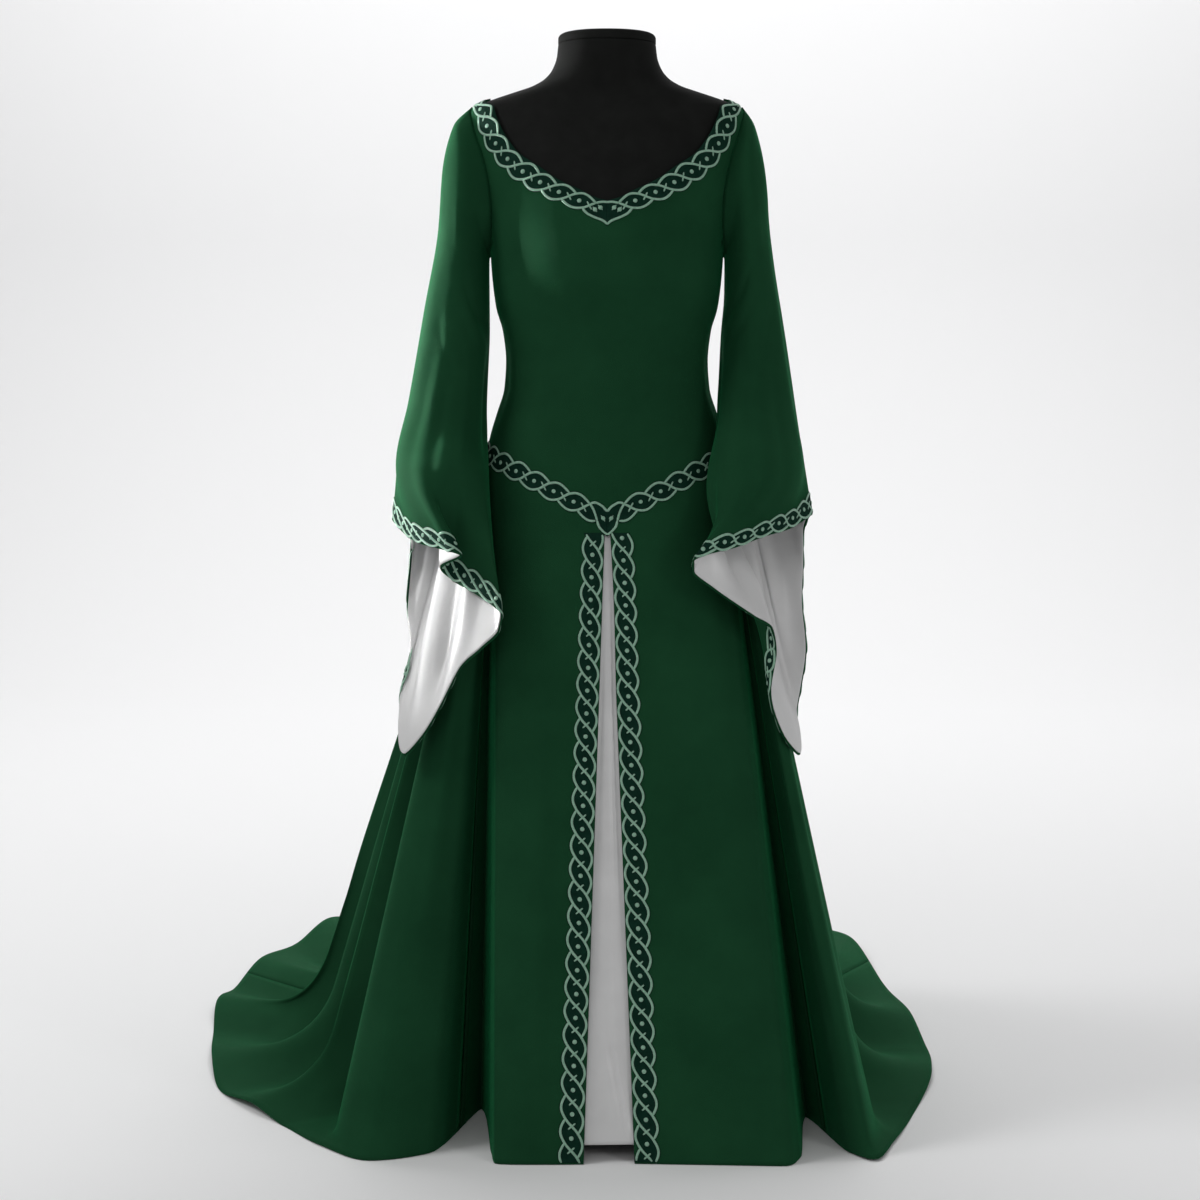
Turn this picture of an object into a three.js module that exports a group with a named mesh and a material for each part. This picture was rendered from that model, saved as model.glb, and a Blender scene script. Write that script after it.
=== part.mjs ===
import * as THREE from "three";

// A medieval costume dress worn by a limbless dress form, in millimetres, at real size.
// +Z is up, the front faces -Y, and the origin is on the floor, on the axis of the form's pole.
// Angles round the body are in degrees: 0 is the front centre, 90 is +X, -90 is -X, 180 is the back.

const CREPE = 1.6;
const SATIN = 1.2;
const BAND = 1.1;
const BAND_WIDTH = 32;
const SEAM = 0.3;
const FORM_CLEARANCE = 2.2;
const SHOULDER_CLEARANCE = 0.6;
const BAND_GAP = 1;
const NECK_BAND_GAP = 2.3;

// Under the cloth the form is a little smaller than the body it fills; at the shoulders it carries it.
const FORM_SHRINK = 5;
const SHOULDER_SHRINK = 0.6;
const SHRINK_FROM = 1326;
const SHRINK_TO = 1356;

const BASE_RADIUS = 150;
const BASE_THICK = 14;
const POLE_RADIUS = 17.5;
const FORM_BOTTOM = 705;
const NECK_TOP = 1428;
const CAP_THICK = 13;

// The girdle seam is a V in front: it rises from its point at the centre by a share of the width.
// Behind it is level.
const GIRDLE_FRONT = 800;
const GIRDLE_RISE = 0.525;
const GIRDLE_SIDE = 884;

// The armhole is an ellipse on the side of the body, in angle and height.
const ARMHOLE_HEIGHT = 1248;
const ARMHOLE_HALF_HEIGHT = 97;
const ARMHOLE_HALF_ANGLE = 27;
const SHOULDER_SEAM_TOP = 1356;
const BAND_TOP = 1349.5;
const SLEEVE_SEAT = FORM_CLEARANCE + CREPE + 0.9;
const BODY_CLEARANCE = 10;

// A section of the form at each height: half its width, and its depth in front and behind.
const SQUARENESS = 0.04;
const FORM_SECTIONS = [
  { z: 705, side: 157, front: 98, back: 108 },
  { z: 750, side: 163, front: 103, back: 118 },
  { z: 800, side: 166, front: 107, back: 124 },
  { z: 850, side: 166, front: 108, back: 124 },
  { z: 907, side: 155, front: 106, back: 114 },
  { z: 937, side: 146, front: 102, back: 105 },
  { z: 972, side: 135.5, front: 98, back: 97 },
  { z: 1010, side: 133, front: 97, back: 93 },
  { z: 1049, side: 137, front: 103, back: 94 },
  { z: 1081, side: 146, front: 113, back: 98 },
  { z: 1120, side: 151, front: 121, back: 103 },
  { z: 1160, side: 154, front: 121, back: 107 },
  { z: 1200, side: 160, front: 112, back: 109 },
  { z: 1240, side: 168, front: 99, back: 108 },
  { z: 1280, side: 176, front: 85, back: 102 },
  { z: 1315, side: 182, front: 70, back: 91 },
  { z: 1335, side: 182, front: 60, back: 80 },
  { z: 1346, side: 177, front: 54, back: 73 },
  { z: 1352, side: 166, front: 52, back: 70 },
  { z: 1358, side: 150, front: 51, back: 67 },
  { z: 1365, side: 128, front: 51, back: 65 },
  { z: 1374, side: 101, front: 52, back: 63 },
  { z: 1384, side: 84, front: 54, back: 62 },
  { z: 1396, side: 74, front: 57, back: 61 },
  { z: 1412, side: 68, front: 60, back: 61 },
  { z: 1428, side: 66, front: 61, back: 61 },
];

// The front neckline and the outer edge of its band, half the width and height at each step.
const NECKLINE_FRONT = [
  { x: 0, z: 1211, bandX: 0, bandZ: 1181 },
  { x: 12, z: 1214, bandX: 20, bandZ: 1190 },
  { x: 34, z: 1225, bandX: 43, bandZ: 1201 },
  { x: 64, z: 1240, bandX: 76, bandZ: 1215 },
  { x: 90, z: 1259, bandX: 108, bandZ: 1233 },
  { x: 116, z: 1278, bandX: 136, bandZ: 1258 },
  { x: 132, z: 1300, bandX: 156, bandZ: 1286 },
  { x: 144, z: 1324, bandX: 168, bandZ: 1314 },
  { x: 150, z: 1342, bandX: 173, bandZ: 1336 },
];
const NECKLINE_BACK = [
  { x: 0, z: 1296, bandX: 0, bandZ: 1264 },
  { x: 40, z: 1300, bandX: 46, bandZ: 1268 },
  { x: 80, z: 1313, bandX: 94, bandZ: 1284 },
  { x: 118, z: 1333, bandX: 138, bandZ: 1308 },
  { x: 142, z: 1348, bandX: 166, bandZ: 1330 },
];

// One row for each ridge and valley of the skirt, from the back centre round by -X to the front
// and on to the back. hip is its angle at the girdle seam; it falls to the floor at land, raised by
// lift, and runs on along the floor to hem.
const SKIRT_FOLDS = [
  { name: "back centre", hip: -180, landX: 0, landY: 430, hemX: 0, hemY: 1035, lift: 0 },
  { name: "train ridge 1", hip: -171, landX: -75, landY: 520, hemX: -150, hemY: 1040, lift: 40 },
  { name: "train valley 1", hip: -162, landX: -135, landY: 430, hemX: -255, hemY: 1022, lift: 0 },
  { name: "train ridge 2", hip: -154, landX: -215, landY: 520, hemX: -370, hemY: 1005, lift: 48 },
  { name: "train valley 2", hip: -146, landX: -235, landY: 400, hemX: -448, hemY: 962, lift: 0 },
  { name: "train ridge 3", hip: -137, landX: -335, landY: 460, hemX: -506, hemY: 890, lift: 52 },
  { name: "train valley 3", hip: -129, landX: -320, landY: 320, hemX: -548, hemY: 765, lift: 0 },
  { name: "train ridge 4", hip: -121, landX: -410, landY: 370, hemX: -586, hemY: 620, lift: 46 },
  { name: "train valley 4", hip: -114, landX: -370, landY: 250, hemX: -606, hemY: 490, lift: 0 },
  { name: "left ridge 5", hip: -107, landX: -450, landY: 255, hemX: -614, hemY: 380, lift: 46 },
  { name: "left valley 4", hip: -100, landX: -335, landY: 140, hemX: -596, hemY: 240, lift: 0 },
  { name: "left ridge 4", hip: -94, landX: -415, landY: 105, hemX: -574, hemY: 110, lift: 32 },
  { name: "left valley 3", hip: -89, landX: -340, landY: 25, hemX: -540, hemY: -20, lift: 2 },
  { name: "left ridge 3", hip: -84, landX: -390, landY: -60, hemX: -480, hemY: -106, lift: 36 },
  { name: "left valley 2", hip: -80, landX: -280, landY: -70, hemX: -424, hemY: -172, lift: 0 },
  { name: "left toe, outer", hip: -76, landX: -352, landY: -226, hemX: -368, hemY: -243, lift: 6 },
  { name: "left toe, crest", hip: -73, landX: -300, landY: -292, hemX: -300, hemY: -293, lift: 0 },
  { name: "left toe, inner", hip: -69.5, landX: -228, landY: -266, hemX: -228, hemY: -267, lift: 0 },
  { name: "left valley 1", hip: -65, landX: -170, landY: -98, hemX: -170, hemY: -99, lift: 0 },
  { name: "left corner, return", hip: -61.5, landX: -147, landY: -262, hemX: -147, hemY: -263, lift: 0 },
  { name: "left corner", hip: -57, landX: -139, landY: -303, hemX: -139, hemY: -304, lift: 0 },
  { name: "left panel, outer", hip: -36, landX: -105, landY: -306, hemX: -105, hemY: -307, lift: 0 },
  { name: "left panel, inner", hip: -17, landX: -68, landY: -306, hemX: -68, hemY: -307, lift: 0 },
  { name: "left front edge", hip: -0.9, landX: -30, landY: -305, hemX: -30, hemY: -306, lift: 0 },
  { name: "slit centre", hip: 0, landX: 2, landY: -304, hemX: 2, hemY: -305, lift: 0 },
  { name: "right front edge", hip: 0.9, landX: 34, landY: -303, hemX: 34, hemY: -304, lift: 0 },
  { name: "right panel, inner", hip: 18, landX: 85, landY: -305, hemX: 85, hemY: -306, lift: 0 },
  { name: "right panel, outer", hip: 38, landX: 150, landY: -308, hemX: 150, hemY: -309, lift: 0 },
  { name: "right corner", hip: 58, landX: 222, landY: -311, hemX: 222, hemY: -312, lift: 0 },
  { name: "right corner, return", hip: 63, landX: 243, landY: -282, hemX: 243, hemY: -283, lift: 0 },
  { name: "right valley 1", hip: 68, landX: 266, landY: -130, hemX: 266, hemY: -131, lift: 0 },
  { name: "right toe, inner", hip: 73, landX: 308, landY: -262, hemX: 310, hemY: -266, lift: 4 },
  { name: "right toe, crest", hip: 78, landX: 330, landY: -282, hemX: 338, hemY: -296, lift: 10 },
  { name: "right toe, outer", hip: 82, landX: 350, landY: -200, hemX: 372, hemY: -228, lift: 12 },
  { name: "right valley 2", hip: 88, landX: 310, landY: -60, hemX: 412, hemY: -120, lift: 0 },
  { name: "right ridge 3", hip: 95, landX: 352, landY: 45, hemX: 462, hemY: 40, lift: 26 },
  { name: "right valley 3", hip: 102, landX: 322, landY: 150, hemX: 475, hemY: 165, lift: 0 },
  { name: "right ridge 4", hip: 110, landX: 360, landY: 270, hemX: 472, hemY: 310, lift: 36 },
  { name: "train valley 8", hip: 118, landX: 318, landY: 320, hemX: 458, hemY: 500, lift: 0 },
  { name: "train ridge 8", hip: 127, landX: 338, landY: 430, hemX: 436, hemY: 745, lift: 46 },
  { name: "train valley 7", hip: 136, landX: 258, landY: 400, hemX: 392, hemY: 890, lift: 0 },
  { name: "train ridge 7", hip: 145, landX: 248, landY: 505, hemX: 320, hemY: 985, lift: 48 },
  { name: "train valley 6", hip: 154, landX: 168, landY: 425, hemX: 232, hemY: 1015, lift: 0 },
  { name: "train ridge 6", hip: 164, landX: 112, landY: 520, hemX: 135, hemY: 1040, lift: 42 },
  { name: "train valley 5", hip: 173, landX: 50, landY: 440, hemX: 62, hemY: 1040, lift: 6 },
  { name: "back centre", hip: 180, landX: 0, landY: 430, hemX: 0, hemY: 1035, lift: 0 },
];
const FLOOR_ROUNDING = 95;

// The folds open over this share of the fall; above it the skirt is smooth over the hips.
const FOLD_START = 0.3;
const SMOOTHING = [-3, -2, -1, 0, 1, 2, 3];
const HEM_LIFT_SHARE = 0.3;

// Columns of the skirt on its folds, one column between each two folds.
const COLUMNS_PER_FOLD = 2;
const SKIRT_ROWS = 9;

// Where the skirt's panels meet, by fold number; a seam on a fold's flank has a half number.
const SKIRT_SEAMS = {
  leftBack: 7.5,
  leftSide: 17.5,
  leftEdge: 23,
  rightEdge: 25,
  rightSide: 30.5,
  rightBack: 38.5,
};

// A sleeve's sections on the way down: its outermost and innermost points, the sideways lean of its
// front point, and half its depth. Distances are from the body's centre plane outwards.
const SLEEVE_SECTIONS = {
  left: [
    { outX: 204, outY: -2, outZ: 1322, inX: 160, inY: -4, inZ: 1146, lean: 0, depth: 58 },
    { outX: 219, outY: -3, outZ: 1262, inX: 160, inY: -6, inZ: 1125, lean: 2, depth: 64 },
    { outX: 224, outY: -5, outZ: 1180, inX: 160, inY: -8, inZ: 1100, lean: 3, depth: 66 },
    { outX: 243, outY: -8, outZ: 1072, inX: 160, inY: -14, inZ: 1050, lean: 4, depth: 66 },
    { outX: 263, outY: -12, outZ: 952, inX: 164, inY: -32, inZ: 945, lean: 8, depth: 70 },
    { outX: 277, outY: -22, outZ: 868, inX: 160, inY: -84, inZ: 862, lean: 16, depth: 78 },
  ],
  right: [
    { outX: 196, outY: -2, outZ: 1322, inX: 160, inY: -4, inZ: 1146, lean: 0, depth: 58 },
    { outX: 210, outY: -3, outZ: 1262, inX: 160, inY: -6, inZ: 1125, lean: 2, depth: 64 },
    { outX: 217, outY: -5, outZ: 1180, inX: 160, inY: -8, inZ: 1100, lean: 3, depth: 66 },
    { outX: 233, outY: -8, outZ: 1072, inX: 156, inY: -16, inZ: 1050, lean: 4, depth: 66 },
    { outX: 251, outY: -12, outZ: 952, inX: 148, inY: -62, inZ: 945, lean: 8, depth: 70 },
    { outX: 262, outY: -22, outZ: 868, inX: 138, inY: -104, inZ: 862, lean: 16, depth: 78 },
  ],
};

// A sleeve's hem, turn by turn: 0 is its outer side, 90 the front, 180 the inner side, 270 the back.
const SLEEVE_HEMS = {
  left: [
    { turn: 18, x: 285, y: -62, z: 796 },
    { turn: 36, x: 260, y: -108, z: 776 },
    { turn: 54, x: 235, y: -148, z: 768 },
    { turn: 72, x: 207, y: -171, z: 763 },
    { turn: 81, x: 197, y: -184, z: 761 },
    { turn: 90, x: 188, y: -178, z: 756 },
    { turn: 108, x: 217, y: -146, z: 738 },
    { turn: 126, x: 203, y: -132, z: 722 },
    { turn: 144, x: 178, y: -146, z: 709 },
    { turn: 162, x: 151, y: -168, z: 694 },
    { turn: 171, x: 136, y: -181, z: 681 },
    { turn: 189, x: 140, y: -182, z: 658 },
    { turn: 198, x: 162, y: -178, z: 636 },
    { turn: 216, x: 188, y: -168, z: 609 },
    { turn: 225, x: 208, y: -169, z: 566 },
    { turn: 243, x: 226, y: -166, z: 528 },
    { turn: 252, x: 252, y: -150, z: 494 },
    { turn: 270, x: 271, y: -116, z: 527 },
    { turn: 279, x: 275, y: -100, z: 559 },
    { turn: 288, x: 262, y: -84, z: 600 },
    { turn: 306, x: 264, y: -64, z: 640 },
    { turn: 315, x: 269, y: -48, z: 672 },
    { turn: 333, x: 264, y: -26, z: 752 },
    { turn: 351, x: 272, y: -12, z: 786 },
  ],
  right: [
    { turn: 15, x: 273, y: -62, z: 804 },
    { turn: 38, x: 238, y: -110, z: 787 },
    { turn: 60, x: 203, y: -140, z: 779 },
    { turn: 82, x: 164, y: -162, z: 766 },
    { turn: 104, x: 133, y: -174, z: 759 },
    { turn: 124, x: 110, y: -177, z: 748 },
    { turn: 142, x: 111, y: -166, z: 734 },
    { turn: 160, x: 136, y: -166, z: 713 },
    { turn: 178, x: 162, y: -168, z: 695 },
    { turn: 196, x: 191, y: -170, z: 676 },
    { turn: 210, x: 215, y: -154, z: 659 },
    { turn: 222, x: 221, y: -146, z: 628 },
    { turn: 234, x: 213, y: -152, z: 575 },
    { turn: 245, x: 220, y: -142, z: 518 },
    { turn: 256, x: 244, y: -118, z: 489 },
    { turn: 266, x: 246, y: -92, z: 515 },
    { turn: 277, x: 259, y: -80, z: 570 },
    { turn: 290, x: 267, y: -70, z: 625 },
    { turn: 304, x: 263, y: -52, z: 682 },
    { turn: 320, x: 266, y: -34, z: 732 },
    { turn: 340, x: 267, y: -20, z: 778 },
  ],
};
const SLEEVE_COLUMNS = 40;
const BELL_ROWS = 3;
const LINING_FIRST_ROW = 5;
const LINING_GAP = 0.6;

// The skirt's outside a short way down, which the sleeves keep clear of.
const SKIRT_REACH = { z: 450, left: 318, right: 278, front: 272, back: 330 };

const COLORS = {
  crepe: 0x11301f,
  satin: 0xb9b5b6,
  band: 0x0a2a1c,
  form: 0x161816,
};

// Maths helpers

// A smooth curve through the values that never overshoots them.
function smoothCurve(stations, values) {
  const last = stations.length - 1;
  const rise = (i) => (values[i + 1] - values[i]) / (stations[i + 1] - stations[i]);
  const slopes = stations.map((_, i) => {
    if (i === 0) return rise(0);
    if (i === last) return rise(last - 1);
    const before = rise(i - 1);
    const after = rise(i);
    return before * after <= 0 ? 0 : (2 * before * after) / (before + after);
  });
  return (station) => {
    let i = 0;
    while (i < last - 1 && station > stations[i + 1]) i += 1;
    const width = stations[i + 1] - stations[i];
    const t = (station - stations[i]) / width;
    const t2 = t * t;
    const t3 = t2 * t;
    return (
      values[i] * (2 * t3 - 3 * t2 + 1) +
      slopes[i] * width * (t3 - 2 * t2 + t) +
      values[i + 1] * (3 * t2 - 2 * t3) +
      slopes[i + 1] * width * (t3 - t2)
    );
  };
}

// One smooth curve for each named column of a table, along its key column.
function tableCurves(rows, key, columns) {
  const stations = rows.map((row) => row[key]);
  const curve = (name) => smoothCurve(stations, rows.map((row) => row[name]));
  return Object.fromEntries(columns.map((name) => [name, curve(name)]));
}

// The same for a table that closes on itself after one turn.
function closedTableCurves(rows, key, columns, turn) {
  const shifted = (by) => rows.map((row) => ({ ...row, [key]: row[key] + by }));
  return tableCurves([...shifted(-turn), ...rows, ...shifted(turn)], key, columns);
}

// A smooth line through points, as a function of the share of its length.
function lineThrough(points) {
  const stations = [0];
  points.slice(1).forEach((point, i) => stations.push(stations[i] + point.distanceTo(points[i])));
  const length = stations[stations.length - 1];
  const [x, y, z] = ["x", "y", "z"].map((axis) => smoothCurve(stations, points.map((point) => point[axis])));
  const at = (share) => new THREE.Vector3(x(share * length), y(share * length), z(share * length));
  return { length, at, shares: stations.map((station) => station / length) };
}

function mix(a, b, share) {
  return a + (b - a) * share;
}

function range(from, to, steps) {
  return Array.from({ length: steps + 1 }, (_, i) => mix(from, to, i / steps));
}

// Walls

// A surface is { point(u, v), facing }: facing is 1 where u cross v points out of the garment.
const STEP = 1e-3;

function along(surface, u, v) {
  const across = surface.point(u + STEP, v).sub(surface.point(u - STEP, v)).divideScalar(2 * STEP);
  const down = surface.point(u, v + STEP).sub(surface.point(u, v - STEP)).divideScalar(2 * STEP);
  return { across, down };
}

function normalAt(surface, u, v) {
  const { across, down } = along(surface, u, v);
  return across.cross(down).normalize().multiplyScalar(surface.facing);
}

// The value of u whose point lies a distance away from the one at a given u, at the same v.
function stepAcross(surface, u, v, distance) {
  const from = surface.point(u, v);
  let step = Math.sign(distance);
  let reached = u + step;
  for (let i = 0; i < 24; i += 1) {
    step /= 2;
    reached += surface.point(reached, v).distanceTo(from) < Math.abs(distance) ? step : -step;
  }
  return reached;
}

// Samples of a surface with columns at each u; rows(u) gives the values of v for that column.
function sample(surface, columns, rows) {
  return columns.map((u) =>
    rows(u).map((v) => ({ point: surface.point(u, v), normal: normalAt(surface, u, v) })),
  );
}

// Moves the outermost columns and rows inwards by half a seam, for the edges that meet a neighbour.
function openSeams(grid, edges) {
  const pull = (from, towards) => {
    const way = towards.point.clone().sub(from.point).normalize();
    return { point: from.point.clone().addScaledVector(way, SEAM / 2), normal: from.normal };
  };
  const lastColumn = grid.length - 1;
  const lastRow = grid[0].length - 1;
  return grid.map((column, i) =>
    column.map((spot, j) => {
      let moved = spot;
      if (edges.first && i === 0) moved = pull(moved, grid[1][j]);
      if (edges.last && i === lastColumn) moved = pull(moved, grid[lastColumn - 1][j]);
      if (edges.top && j === 0) moved = pull(moved, column[1]);
      if (edges.bottom && j === lastRow) moved = pull(moved, column[lastRow - 1]);
      return moved;
    }),
  );
}

// How much farther a wall's face stands off at a bend between columns, so its thickness is kept.
const MITRE_LIMIT = 2;

function mitre(grid, i, j, closed) {
  const count = grid.length;
  if (!closed && (i === 0 || i === count - 1)) return 1;
  const [before, here, after] = [i - 1, i, i + 1].map((k) => grid[(k + count) % count][j].point);
  const into = here.clone().sub(before).normalize();
  const outOf = after.clone().sub(here).normalize();
  return Math.min(1 / Math.sqrt(Math.max((1 + into.dot(outOf)) / 2, 1e-6)), MITRE_LIMIT);
}

// A closed wall between two distances from the samples, never below the floor. Its first column has
// no edge below the row openBelow, where its mirror image joins on.
function wall(grid, low, high, { closed = false, facing = 1, openBelow = 0 } = {}) {
  const columns = grid.length;
  const rows = grid[0].length;
  const positions = [];
  for (const offset of [low, high]) {
    for (const [i, column] of grid.entries()) {
      for (const [j, { point, normal }] of column.entries()) {
        const place = point.clone().addScaledVector(normal, offset * mitre(grid, i, j, closed));
        positions.push(place.x, place.y, Math.max(place.z, 0));
      }
    }
  }
  const index = [];
  const at = (layer, i, j) => (layer * columns + (i % columns)) * rows + j;
  const quad = (a, b, c, d) => (facing > 0 ? index.push(a, b, c, a, c, d) : index.push(a, c, b, a, d, c));
  const spans = closed ? columns : columns - 1;
  for (let i = 0; i < spans; i += 1) {
    for (let j = 0; j < rows - 1; j += 1) {
      quad(at(1, i, j), at(1, i + 1, j), at(1, i + 1, j + 1), at(1, i, j + 1));
      quad(at(0, i, j), at(0, i, j + 1), at(0, i + 1, j + 1), at(0, i + 1, j));
    }
    quad(at(0, i, 0), at(0, i + 1, 0), at(1, i + 1, 0), at(1, i, 0));
    quad(at(1, i, rows - 1), at(1, i + 1, rows - 1), at(0, i + 1, rows - 1), at(0, i, rows - 1));
  }
  if (!closed) {
    const end = columns - 1;
    for (let j = 0; j < rows - 1; j += 1) {
      if (j >= openBelow) quad(at(1, 0, j + 1), at(0, 0, j + 1), at(0, 0, j), at(1, 0, j));
      quad(at(1, end, j + 1), at(1, end, j), at(0, end, j), at(0, end, j + 1));
    }
  }
  const geometry = new THREE.BufferGeometry();
  geometry.setAttribute("position", new THREE.Float32BufferAttribute(positions, 3));
  geometry.setIndex(index);
  return geometry;
}

// A half and its mirror image on the other side of the centre plane, as one.
function withMirror(half) {
  const place = Array.from(half.getAttribute("position").array);
  const index = Array.from(half.index.array);
  const count = place.length / 3;
  const mirrored = place.map((value, i) => (i % 3 === 0 ? -value : value));
  const turned = index.map((_, i) => index[i - (i % 3) + [0, 2, 1][i % 3]] + count);
  const geometry = new THREE.BufferGeometry();
  geometry.setAttribute("position", new THREE.Float32BufferAttribute([...place, ...mirrored], 3));
  geometry.setIndex([...index, ...turned]);
  return geometry;
}

// A solid through level rings of points, closed by a flat fan at each end.
function solidOfRings(rings) {
  const count = rings[0].length;
  const positions = rings.flat().flatMap((point) => [point.x, point.y, point.z]);
  const index = [];
  rings.slice(1).forEach((_, k) => {
    for (let i = 0; i < count; i += 1) {
      const next = (i + 1) % count;
      const [a, b] = [k * count + i, k * count + next];
      index.push(a, b, b + count, a, b + count, a + count);
    }
  });
  const top = (rings.length - 1) * count;
  for (let i = 1; i < count - 1; i += 1) {
    index.push(0, i + 1, i);
    index.push(top, top + i, top + i + 1);
  }
  const geometry = new THREE.BufferGeometry();
  geometry.setAttribute("position", new THREE.Float32BufferAttribute(positions, 3));
  geometry.setIndex(index);
  return geometry;
}

// The body

const form = tableCurves(FORM_SECTIONS, "z", ["side", "front", "back"]);

function bodyPoint(angle, z) {
  const turn = THREE.MathUtils.degToRad(angle);
  const square = 1 + SQUARENESS * Math.sin(2 * turn) ** 2;
  const depth = Math.cos(turn) > 0 ? form.front(z) : form.back(z);
  return new THREE.Vector3(form.side(z) * Math.sin(turn) * square, -depth * Math.cos(turn) * square, z);
}

const BODY = { point: bodyPoint, facing: 1 };

// The point of the body at an angle and height, moved out along its normal.
function onBody(angle, z, distance) {
  return bodyPoint(angle, z).addScaledVector(normalAt(BODY, angle, z), distance);
}

// The angle at which the body is a given distance from its centre plane at a height.
function angleForWidth(x, z) {
  let angle = 45;
  let step = 22.5;
  for (let i = 0; i < 30; i += 1) {
    angle += bodyPoint(angle, z).x < x ? step : -step;
    step /= 2;
  }
  return angle;
}

// The seam's height at an angle; in front it depends on the body's width at that height.
function girdleHeight(angle) {
  if (Math.abs(angle) > 90 && Math.abs(angle) < 270) return GIRDLE_SIDE;
  let z = GIRDLE_FRONT;
  for (let i = 0; i < 12; i += 1) {
    z = GIRDLE_FRONT + GIRDLE_RISE * Math.abs(bodyPoint(angle, z).x);
  }
  return Math.min(z, GIRDLE_SIDE);
}

function armhole(turn) {
  const radians = THREE.MathUtils.degToRad(turn);
  return {
    angle: 90 - ARMHOLE_HALF_ANGLE * Math.sin(radians),
    z: ARMHOLE_HEIGHT + ARMHOLE_HALF_HEIGHT * Math.cos(radians),
  };
}

// Bodice

// The share of the way up a bodice at which its neckline and its armholes start.
const BODICE_JOINT = 0.58;

// A line in angle and height, from a list of places, by the share of its length on the body.
function flatLine(places) {
  const stations = [0];
  places.slice(1).forEach((place, i) => {
    const gap = bodyPoint(place.angle, place.z).distanceTo(bodyPoint(places[i].angle, places[i].z));
    stations.push(stations[i] + gap);
  });
  const length = stations[stations.length - 1];
  const angle = smoothCurve(stations, places.map((place) => place.angle));
  const z = smoothCurve(stations, places.map((place) => place.z));
  return { length, at: (share) => ({ angle: angle(share * length), z: z(share * length) }) };
}

function necklineOf(table) {
  const inner = table.map((row) => ({ angle: angleForWidth(row.x, row.z), z: row.z }));
  return flatLine([...inner, { angle: 90, z: SHOULDER_SEAM_TOP }]);
}

function bandEdgeOf(table) {
  const outer = table.map((row) => ({ angle: angleForWidth(row.bandX, row.bandZ), z: row.bandZ }));
  return flatLine([...outer, { angle: 90, z: BAND_TOP }]);
}

// Half a bodice as a patch between four lines: the centre with the neckline, the side seam with the
// armhole, the girdle seam and the shoulder seam. u runs from the centre to the side, v upwards.
function bodiceHalf(table) {
  const isBack = table === NECKLINE_BACK;
  const bottom = (u) => ({ angle: 90 * u, z: girdleHeight(isBack ? 180 - 90 * u : 90 * u) });
  const neckline = necklineOf(table);
  const centre = flatLine([bottom(0), neckline.at(0)]);
  const side = flatLine([bottom(1), armhole(180)]);
  const arm = flatLine(range(180, 0, 8).map(armhole));
  const shoulder = flatLine([neckline.at(1), armhole(0)]);
  const joined = (first, second) => (v) =>
    v < BODICE_JOINT ? first.at(v / BODICE_JOINT) : second.at((v - BODICE_JOINT) / (1 - BODICE_JOINT));
  const inner = joined(centre, neckline);
  const outer = joined(side, arm);
  const blend = (u, v, name) =>
    (1 - u) * inner(v)[name] + u * outer(v)[name] + (1 - v) * bottom(u)[name] + v * shoulder.at(u)[name] -
    ((1 - u) * (1 - v) * bottom(0)[name] + u * (1 - v) * bottom(1)[name] +
      (1 - u) * v * shoulder.at(0)[name] + u * v * shoulder.at(1)[name]);
  return (u, v) => ({ angle: blend(u, v, "angle"), z: blend(u, v, "z") });
}

// The gap under the bodice: it hangs from the shoulders, so there it lies closer to the form.
const bodiceClearance = smoothCurve([FORM_BOTTOM, SHRINK_FROM, SHRINK_TO, NECK_TOP],
  [FORM_CLEARANCE, FORM_CLEARANCE, SHOULDER_CLEARANCE, SHOULDER_CLEARANCE]);

// Samples of a patch in angle and height, laid a layer's height above the inside of the bodice.
function bodySamples(places, layer) {
  return places.map((column) =>
    column.map(({ angle, z }) => ({
      point: onBody(angle, z, bodiceClearance(z) + layer),
      normal: normalAt(BODY, angle, z),
    })),
  );
}

// Steps along the neckline crowd towards the shoulder, where the body turns over quickly.
const NECKLINE_SHARES = [...range(0, 0.64, 4), 0.75, 0.84, 0.9, 0.95, 0.98, 1];
const BODICE_COLUMNS = range(0, 1, 12);
const LOWER_ROWS = 5;
const BODICE_ROWS = [...range(0, BODICE_JOINT, LOWER_ROWS).slice(0, -1),
  ...NECKLINE_SHARES.map((share) => mix(BODICE_JOINT, 1, share))];

function bodiceFront() {
  const half = bodiceHalf(NECKLINE_FRONT);
  const places = BODICE_COLUMNS.map((u) => BODICE_ROWS.map((v) => half(u, v)));
  const grid = bodySamples(places, 0);
  return withMirror(wall(openSeams(grid, { last: true, top: true }), 0, CREPE, { openBelow: LOWER_ROWS }));
}

function bodiceBack(side) {
  const half = bodiceHalf(NECKLINE_BACK);
  const places = BODICE_COLUMNS.map((u) =>
    BODICE_ROWS.map((v) => {
      const { angle, z } = half(u, v);
      return { angle: side * (180 - angle), z };
    }),
  );
  const grid = bodySamples(places, 0);
  return wall(openSeams(grid, { first: true, last: true, top: true }), 0, CREPE, { facing: -side });
}

// The neck band, front or back, from its inner edge to its outer edge.
function neckBand(table, atBack) {
  const inner = necklineOf(table);
  const outer = bandEdgeOf(table);
  const half = NECKLINE_SHARES.map((share) =>
    range(0, 1, 2).map((across) => {
      const [a, b] = [inner.at(share), outer.at(share)];
      return { angle: mix(a.angle, b.angle, across), z: mix(a.z, b.z, across) };
    }),
  );
  const turned = (column, sign) =>
    column.map(({ angle, z }) => ({ angle: atBack ? 180 - sign * angle : sign * angle, z }));
  const places = [...half.slice(1).reverse().map((column) => turned(column, -1)),
    ...half.map((column) => turned(column, 1))];
  const grid = bodySamples(places, CREPE + NECK_BAND_GAP);
  return wall(openSeams(grid, { first: true, last: true }), 0, BAND, { facing: atBack ? 1 : -1 });
}

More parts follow.
